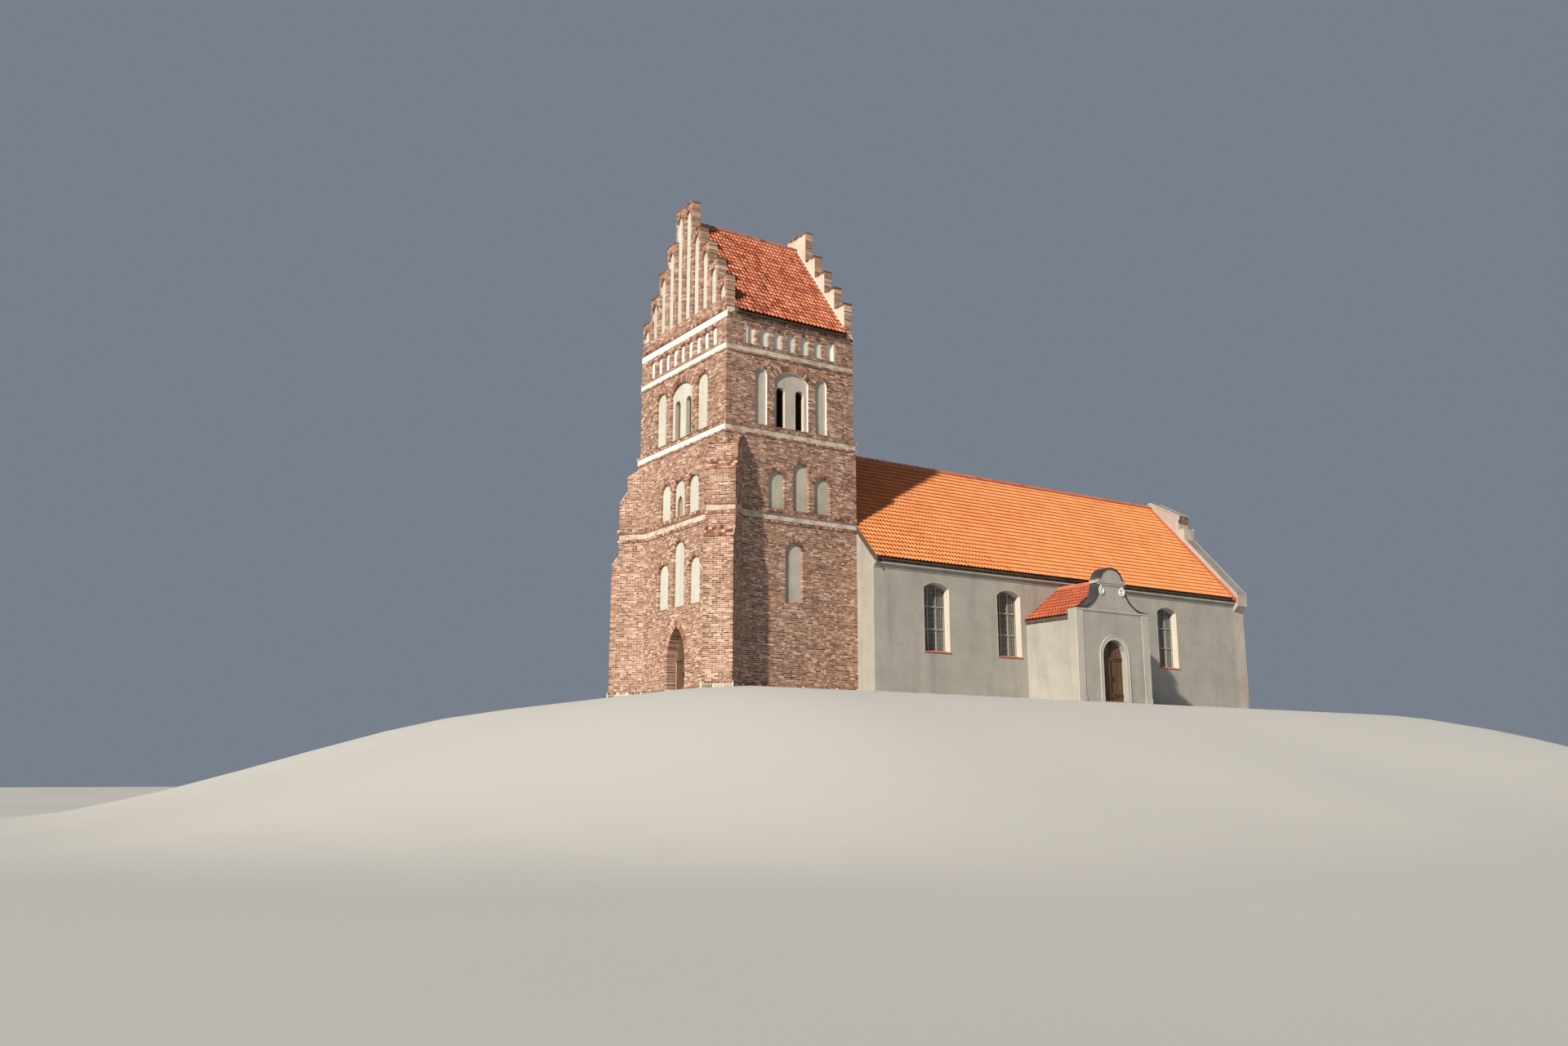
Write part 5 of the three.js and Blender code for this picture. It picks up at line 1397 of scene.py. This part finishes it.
# The shaped gable's right-hand edge, as offset and height: its hollow shoulder and its round head
HEAD_HALF, HEAD_RISE, HEAD_FOOT = 0.8, 0.59, 5.74
HEAD_RADIUS = (HEAD_HALF ** 2 + HEAD_RISE ** 2) / (2 * HEAD_RISE)
HOLLOW_WIDE, HOLLOW_HIGH, HOLLOW_TOP, SHOULDER_FOOT_Z = 1.4, 1.25, 5.6, 4.35
HOLLOW = [(PORCH_HALF + HOLLOW_WIDE * math.cos(a), HOLLOW_TOP + HOLLOW_HIGH * math.sin(a))
          for a in np.linspace(-math.pi / 2, -math.pi, 13)]
HEAD = [(HEAD_RADIUS * math.cos(a), HEAD_FOOT + HEAD_RISE - HEAD_RADIUS + HEAD_RADIUS * math.sin(a))
        for a in np.linspace(math.pi / 2 - math.asin(HEAD_HALF / HEAD_RADIUS), math.pi / 2, 9)]
MIRRORED_CELL = [1, 0, 3, 2, 5, 4, 7, 6]
# How far the slabs lie under and over the curve, behind and before the porch's face
COPE_LIFTS, COPE_DEPTHS = (-0.03, 0.035), (-0.53, 0.045)
# A scroll's turns and steps, its band's half width, how far it stands out, and how much each dwindles
SCROLL_TURNS, SCROLL_STEPS, SCROLL_BAND, SCROLL_OUT, SCROLL_IN = 1.85, 44, 0.054, 0.05, 0.02
SIZE_LOSS, BAND_LOSS, OUT_LOSS, SCROLL_BASE = 0.8, 0.55, 0.3, 0.012
SCROLL_MIDDLE, SCROLL_HEIGHT, SCROLL_SIZE = 0.66, 5.25, 0.205


def cope_line(heap, points, way):
    """Slabs that follow a curve over a wall, on the face of the porch."""
    for ends in stretches_of(points):
        (u0, z0), (u1, z1) = ends
        normal = np.array([z1 - z0, u0 - u1]) / math.hypot(u1 - u0, z1 - z0)
        normal = -normal if normal[1] < 0 else normal
        cells = []
        for c, d, r in CELL:
            u, z = ends[c] + normal * COPE_LIFTS[r]
            cells.append((way * u, COPE_DEPTHS[d], z))
        cells = np.array(cells)
        heap.solids(PORCH, cells[MIRRORED_CELL] if way * (u1 - u0) < 0 else cells, RANDOM.uniform(0.0, 0.5))


def volute(heap, u, z, way, size):
    """A scroll in relief: a tapering band wound inwards."""
    rings = []
    for t in np.linspace(0, 1, SCROLL_STEPS + 1):
        angle = math.pi / 2 - SCROLL_TURNS * 2 * math.pi * t
        width = SCROLL_BAND * (1 - BAND_LOSS * t)
        shape = []
        for a in circle(8):
            r = size * (1 - SIZE_LOSS * t) + width * math.cos(a)
            n = math.sin(a) * (SCROLL_OUT * (1 - OUT_LOSS * t) if math.sin(a) > 0 else SCROLL_IN)
            shape.append((u + way * r * math.cos(angle), SCROLL_BASE + n, z + r * math.sin(angle)))
        rings.append(PORCH.place(shape))
    heap.sweep(np.array(rings)[:, ::way])


cope, relief, scrolls = Heap(), Heap(), Heap()
for way in SIDES:
    cope_line(cope, [(PORCH_EAVES, SHOULDER_FOOT_Z), *HOLLOW], way)
    cope_line(cope, HEAD, way)
    # The scrolls take the white limewash, brighter than the grey gable: partly a painted highlight
    volute(scrolls, way * SCROLL_MIDDLE, SCROLL_HEIGHT, way, SCROLL_SIZE)
# Mouldings under and on the ledge, and round the doorway: foot, top, half width and how far they stand out
for low, high, half, out in ((5.53, 5.6, 0.86, 0.05), (5.49, 5.53, 0.83, 0.025), (5.74, 5.765, 0.88, 0.06),
                             (4.28, 4.34, 2.396, 0.05), (4.24, 4.28, 2.39, 0.028)):
    relief.boxes(PORCH, (-half, half), (-0.02, out), (low, high))
DOORWAY = Opening(0.0, 1.5, 0.2, 3.0)
for outer, inner, out in ((0.19, 0.006, 0.03), (0.22, 0.17, 0.045)):
    loops = (DOORWAY.outline(grow, 24, sill_drop=0.2) for grow in (outer, inner))
    relief.band(PORCH, *loops, -0.02, out)
for way in SIDES:
    relief.boxes(PORCH, (way * 1.95, way * 2.386), (-0.02, 0.03), (0.0, 4.24))
    relief.boxes(PORCH, (way * 1.94, way * 2.396), (-0.02, 0.05), (0.0, 0.4))
piece("porch_gable_coping", cope, SLATE)
piece("porch_gable_relief", relief, TRIM)
piece("porch_gable_scrolls", scrolls, WHITE, smooth=RELIEF_SMOOTH)


# Doors of upright planks with strap hinges and a ring handle
STUD_RINGS = ((1.0, 0.0), (0.9, 0.4), (0.5, 0.8), (0.12, 0.95))
DOOR_GAP, PLANK_JOINT_HALF, PLANK_TOP = 0.006, 0.003, 0.02
RAIL_HEIGHT, LEDGE_HALF, LEDGE_PROUD = 0.3, 0.09, 0.022
# How deep ironwork sits in the planks, a strap's half widths and faces, and the nails' and the ring's sizes
IRON_BED, STRAP_WIDE, STRAP_NARROW, STRAP_FACES = 0.004, 0.035, 0.016, (0.02, 0.032)
STRAP_NAIL, PLANK_NAIL = 0.014, 0.011
RING_RADIUS, RING_THICK, RING_OUT, HANDLE_HEIGHT = 0.06, 0.009, 0.024, 1.05


def stud(heap, face, u, z, n, size):
    """A domed nail head."""
    rings = []
    for r, h in STUD_RINGS:
        ring = [(u + size * r * math.cos(a), n + size * h, z + size * r * math.sin(a)) for a in circle(8)]
        rings.append(face.place(ring))
    heap.sweep(outward(face, rings))


def plank_door(name, node, face, opening, front, thick, planks):
    wood, iron = Heap(), Heap()
    seam, sill = opening.centre, opening.sill
    left, right = seam - opening.half + DOOR_GAP, seam + opening.half - DOOR_GAP
    for a, b in divided(left, right, planks):
        a, b = a + PLANK_JOINT_HALF, b - PLANK_JOINT_HALF
        top = [(u, max(opening.top(u) - PLANK_TOP, sill + RAIL_HEIGHT)) for u in np.linspace(b, a, 5)]
        wood.plate(face, [[(a, sill + DOOR_GAP), (b, sill + DOOR_GAP), *top]], front - thick,
                   front - RANDOM.uniform(0.0, 0.006), RANDOM.uniform(0, 1))
    for z in (sill + RAIL_HEIGHT, opening.spring - 0.1):
        wood.boxes(face, (left + 0.02, right - 0.02), (front - IRON_BED, front + LEDGE_PROUD),
                   (z - LEDGE_HALF, z + LEDGE_HALF), RANDOM.uniform(0.3, 1))
        for way in SIDES:
            end, tip = seam + way * (opening.half - 0.03), seam + way * 0.12
            us, wide = ((end, tip), (STRAP_WIDE, STRAP_NARROW))
            if way > 0:
                us, wide = us[::-1], wide[::-1]
            iron.solids(face, [(us[c], front + STRAP_FACES[d], z + (wide[c] if r else -wide[c]))
                               for c, d, r in CELL])
            for part in 0.08 + 0.28 * np.arange(4):
                stud(iron, face, end + (tip - end) * part, z, front + 0.03, STRAP_NAIL)
    for a, b in divided(left, right, planks):
        for z in (sill + 0.9, (sill + opening.spring) / 2 + 0.25):
            stud(iron, face, (a + b) / 2, z, front - IRON_BED, PLANK_NAIL)
    iron.boxes(face, (seam - 0.03, seam + 0.03), (front - IRON_BED, front + 0.016),
               (sill + 0.02, opening.top(seam) - 0.06))
    z = sill + HANDLE_HEIGHT
    iron.boxes(face, (seam + 0.05, seam + 0.17), (front - IRON_BED, front + 0.012), (z - 0.12, z + 0.1))
    rings = []
    for a in circle(20):
        shape = []
        for b in circle(8):
            r = RING_RADIUS + RING_THICK * math.cos(b)
            n = front + RING_OUT + RING_THICK * math.sin(b)
            shape.append((seam + 0.11 + r * math.cos(a), n, z - 0.03 + r * math.sin(a)))
        rings.append(face.place(shape))
    iron.sweep(rings, closed=True)
    piece(f"{name}_planks", wood, OAK, [node])
    piece(f"{name}_ironwork", iron, IRON)


plank_door("west_door", "tower_west_door", LOWER["west"], WEST_PORTAL, -0.5, 0.08, 9)
plank_door("porch_door", "porch_door", PORCH, DOORWAY, -0.25, 0.08, 8)


# Granite blocks of the tower's plinth, with a weathered course of bricks on top
STONE_OUT, STONE_COURSES, STONES_TOP = 0.06, ((0.0, 0.29), (0.29, 0.5)), 0.5
STONE_LONG, STONE_JITTER, STONE_JOINT_HALF, STONE_BED_HALF, TREAD_JOINT_HALF = 0.42, 0.09, 0.008, 0.006, 0.004
# Each ring of a stone has how far it is drawn in and how far it stands out; then how much its corners are cut
STONE_RINGS = ((0.0, -0.05), (0.0, -0.004), (0.016, 0.004), (0.05, 0.0075))
STONE_CUT, CUT_GROWTH, DOOR_SIDE = 0.02, 0.3, 0.82


def block(heap, face, u0, u1, z0, z1, out, tone):
    """A hewn stone whose face bulges a little and whose edges are worn back."""
    rings = []
    for shrink, depth in STONE_RINGS:
        a, b, c, d = u0 + shrink, u1 - shrink, z0 + shrink, z1 - shrink
        cut = STONE_CUT + shrink * CUT_GROWTH
        ring = [(a + cut, c), (b - cut, c), (b, c + cut), (b, d - cut),
                (b - cut, d), (a + cut, d), (a, d - cut), (a, c + cut)]
        rings.append(face.place_loop(ring, out + depth))
    heap.sweep(outward(face, rings), tone)


stones, ledge = Heap(), Heap()
# Each run of blocks has its face, its two ends and how far it stands out
west = MEET + 0.12
runs = [(LOWER["west"], u0, u1, STONE_OUT)
        for u0, u1 in ((west, MIDDLE - DOOR_SIDE), (MIDDLE + DOOR_SIDE, WIDTH - west))]
runs += [(LOWER[name], west, LENGTH - 0.02, STONE_OUT) for name in FLANKS]
for side_name in FLANKS:
    half, reach = BUTTRESS_HALF + STONE_OUT, BUTTRESS_STAGES[0][0] + STONE_OUT
    front, flanks, _ = buttress_faces(side_name, half, reach)
    runs.append((front, -half + 0.03, half - 0.03, 0.0))
    runs += [(flank, -BUTTRESS_HALF + 0.05, reach - 0.03, 0.0) for flank in flanks]
for face, u0, u1, out in runs:
    for low, high in STONE_COURSES:
        for a, b in uneven(u0, u1, STONE_LONG, STONE_JITTER):
            block(stones, face, a + STONE_JOINT_HALF, b - STONE_JOINT_HALF, low + STONE_BED_HALF,
                  high - STONE_BED_HALF, out, RANDOM.uniform(0, 1))
    string_bricks(ledge, face, u0, u1, STONES_TOP, PLINTH_TOP, out - 0.002)
# The step under the west door, and the stones at its two sides
TREAD = Face((0, 0, WEST_PORTAL.sill), (0, 1, 0), (0, 0, 1), (1, 0, 0))
for a, b in stretches_of([MIDDLE - 0.795, MIDDLE - 0.2, MIDDLE + 0.32, MIDDLE + 0.795]):
    a, b = a + TREAD_JOINT_HALF, b - TREAD_JOINT_HALF
    block(stones, LOWER["west"], a, b, STONE_BED_HALF, 0.19, STONE_OUT, RANDOM.uniform(0, 1))
    block(stones, TREAD, a, b, -0.055, 0.44, 0.0, RANDOM.uniform(0, 1))
for way in SIDES:
    jamb = Face((0, MIDDLE + way * WEST_PORTAL.half, 0), (1, 0, 0), (0, -way, 0))
    for x0, x1 in ((-0.05, 0.2), (0.21, 0.44)):
        block(stones, jamb, x0, x1, 0.21, 0.49, 0.0, RANDOM.uniform(0, 1))
piece("tower_plinth_stones", stones, GRANITE, smooth=60)
piece("tower_plinth_ledge", ledge, DARK_BRICK)

# The CAD nodes that stay get the finish of what they are
for name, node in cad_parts.items():
    finish = {"tower": MORTAR, "belfry": BELFRY_MORTAR}.get(name.split("_")[0], GREY)
    if "floor" in name:
        finish = BOARDS if name.startswith("belfry") else PAVING
    if "window" in name:
        finish = GLASS
    if "door" in name:
        finish = OAK
    if name == "nave_east_gable":
        finish = PINK
    node.data.materials.clear()
    node.data.materials.append(finish)


# Studio: a pale floor that falls away round the church, soft light and the camera
FLOOR_DROP, FLOOR_REACH, FLOOR_POINTS, FALL_WIDTH, LEVEL_MARGIN = -4.9, 240.0, 120, 24.0, 1.2
SUN_FROM, SUN_HEIGHT, SUN_SIZE = math.radians(24.5), math.radians(27), math.radians(1.6)
SUN_POWER, SUN_COLOUR, SKY_POWER, SKY_COLOUR = 5.4, (1.0, 0.9, 0.76), 0.3, (0.62, 0.72, 0.86, 1.0)
FOCAL, PHOTO_WIDTH, SENSOR = 1557.0, 1920.0, 36.0
VIEWPOINT, VIEW_UP, VIEW_TURN = Vector((-26.65, -44.55, -3.2)), math.radians(11.35), math.radians(-33.63)


def linked(name, data):
    thing = bpy.data.objects.new(name, data)
    bpy.context.scene.collection.objects.link(thing)
    return thing


def studio_floor():
    grid = np.linspace(-1, 1, FLOOR_POINTS)
    grid = np.sign(grid) * np.abs(grid) ** 2.2 * FLOOR_REACH
    xs, ys = np.meshgrid(grid, grid)
    half_x, half_y = ((CAD_BOX[1][axis] - CAD_BOX[0][axis]) / 2 + LEVEL_MARGIN for axis in range(2))
    away = np.hypot(np.maximum(np.abs(xs) - half_x, 0), np.maximum(np.abs(ys) - half_y, 0))
    part = np.clip(away / FALL_WIDTH, 0, 1)
    z = FLOOR_DROP * part * part * (3 - 2 * part) - 0.002
    steps = np.arange(FLOOR_POINTS - 1)
    corner = (steps[:, None] * FLOOR_POINTS + steps).ravel()
    faces = np.column_stack([corner, corner + 1, corner + FLOOR_POINTS + 1, corner + FLOOR_POINTS])
    mesh = bpy.data.meshes.new("studio_floor")
    mesh.from_pydata(np.column_stack([xs.ravel(), ys.ravel(), z.ravel()]).tolist(), [], faces.tolist())
    mesh.polygons.foreach_set("use_smooth", np.ones(len(faces), bool))
    pale = Finish("studio_floor", roughness=0.9, specular=0.1)
    clouds = pale.ramp(pale.noise(0.05, 2.0), [(0.3, (0.5, 0.5, 0.49)), (0.7, (0.54, 0.535, 0.52))])
    mesh.materials.append(pale.finished(clouds))
    linked("studio_floor", mesh)


def studio_light():
    sun = bpy.data.lights.new("key", "SUN")
    sun.energy = SUN_POWER
    sun.angle = SUN_SIZE
    sun.color = SUN_COLOUR
    toward = Vector((-math.cos(SUN_FROM) * math.cos(SUN_HEIGHT), -math.sin(SUN_FROM) * math.cos(SUN_HEIGHT),
                     math.sin(SUN_HEIGHT)))
    linked("key", sun).rotation_euler = toward.to_track_quat("Z", "Y").to_euler()
    world = bpy.data.worlds.new("studio")
    world.use_nodes = True
    back = world.node_tree.nodes["Background"]
    back.inputs["Color"].default_value = SKY_COLOUR
    back.inputs["Strength"].default_value = SKY_POWER
    bpy.context.scene.world = world
    bpy.context.scene.view_settings.view_transform = "Standard"


def photo_camera():
    camera = bpy.data.cameras.new("camera")
    camera.sensor_width = SENSOR
    camera.lens = FOCAL / PHOTO_WIDTH * SENSOR
    camera.clip_end = 1000.0
    view = linked("camera", camera)
    view.location = VIEWPOINT + Vector(SHIFT)
    view.rotation_euler = (math.pi / 2 + VIEW_UP, 0.0, VIEW_TURN)
    bpy.context.scene.camera = view


studio_floor()
studio_light()
photo_camera()

bpy.context.view_layer.update()
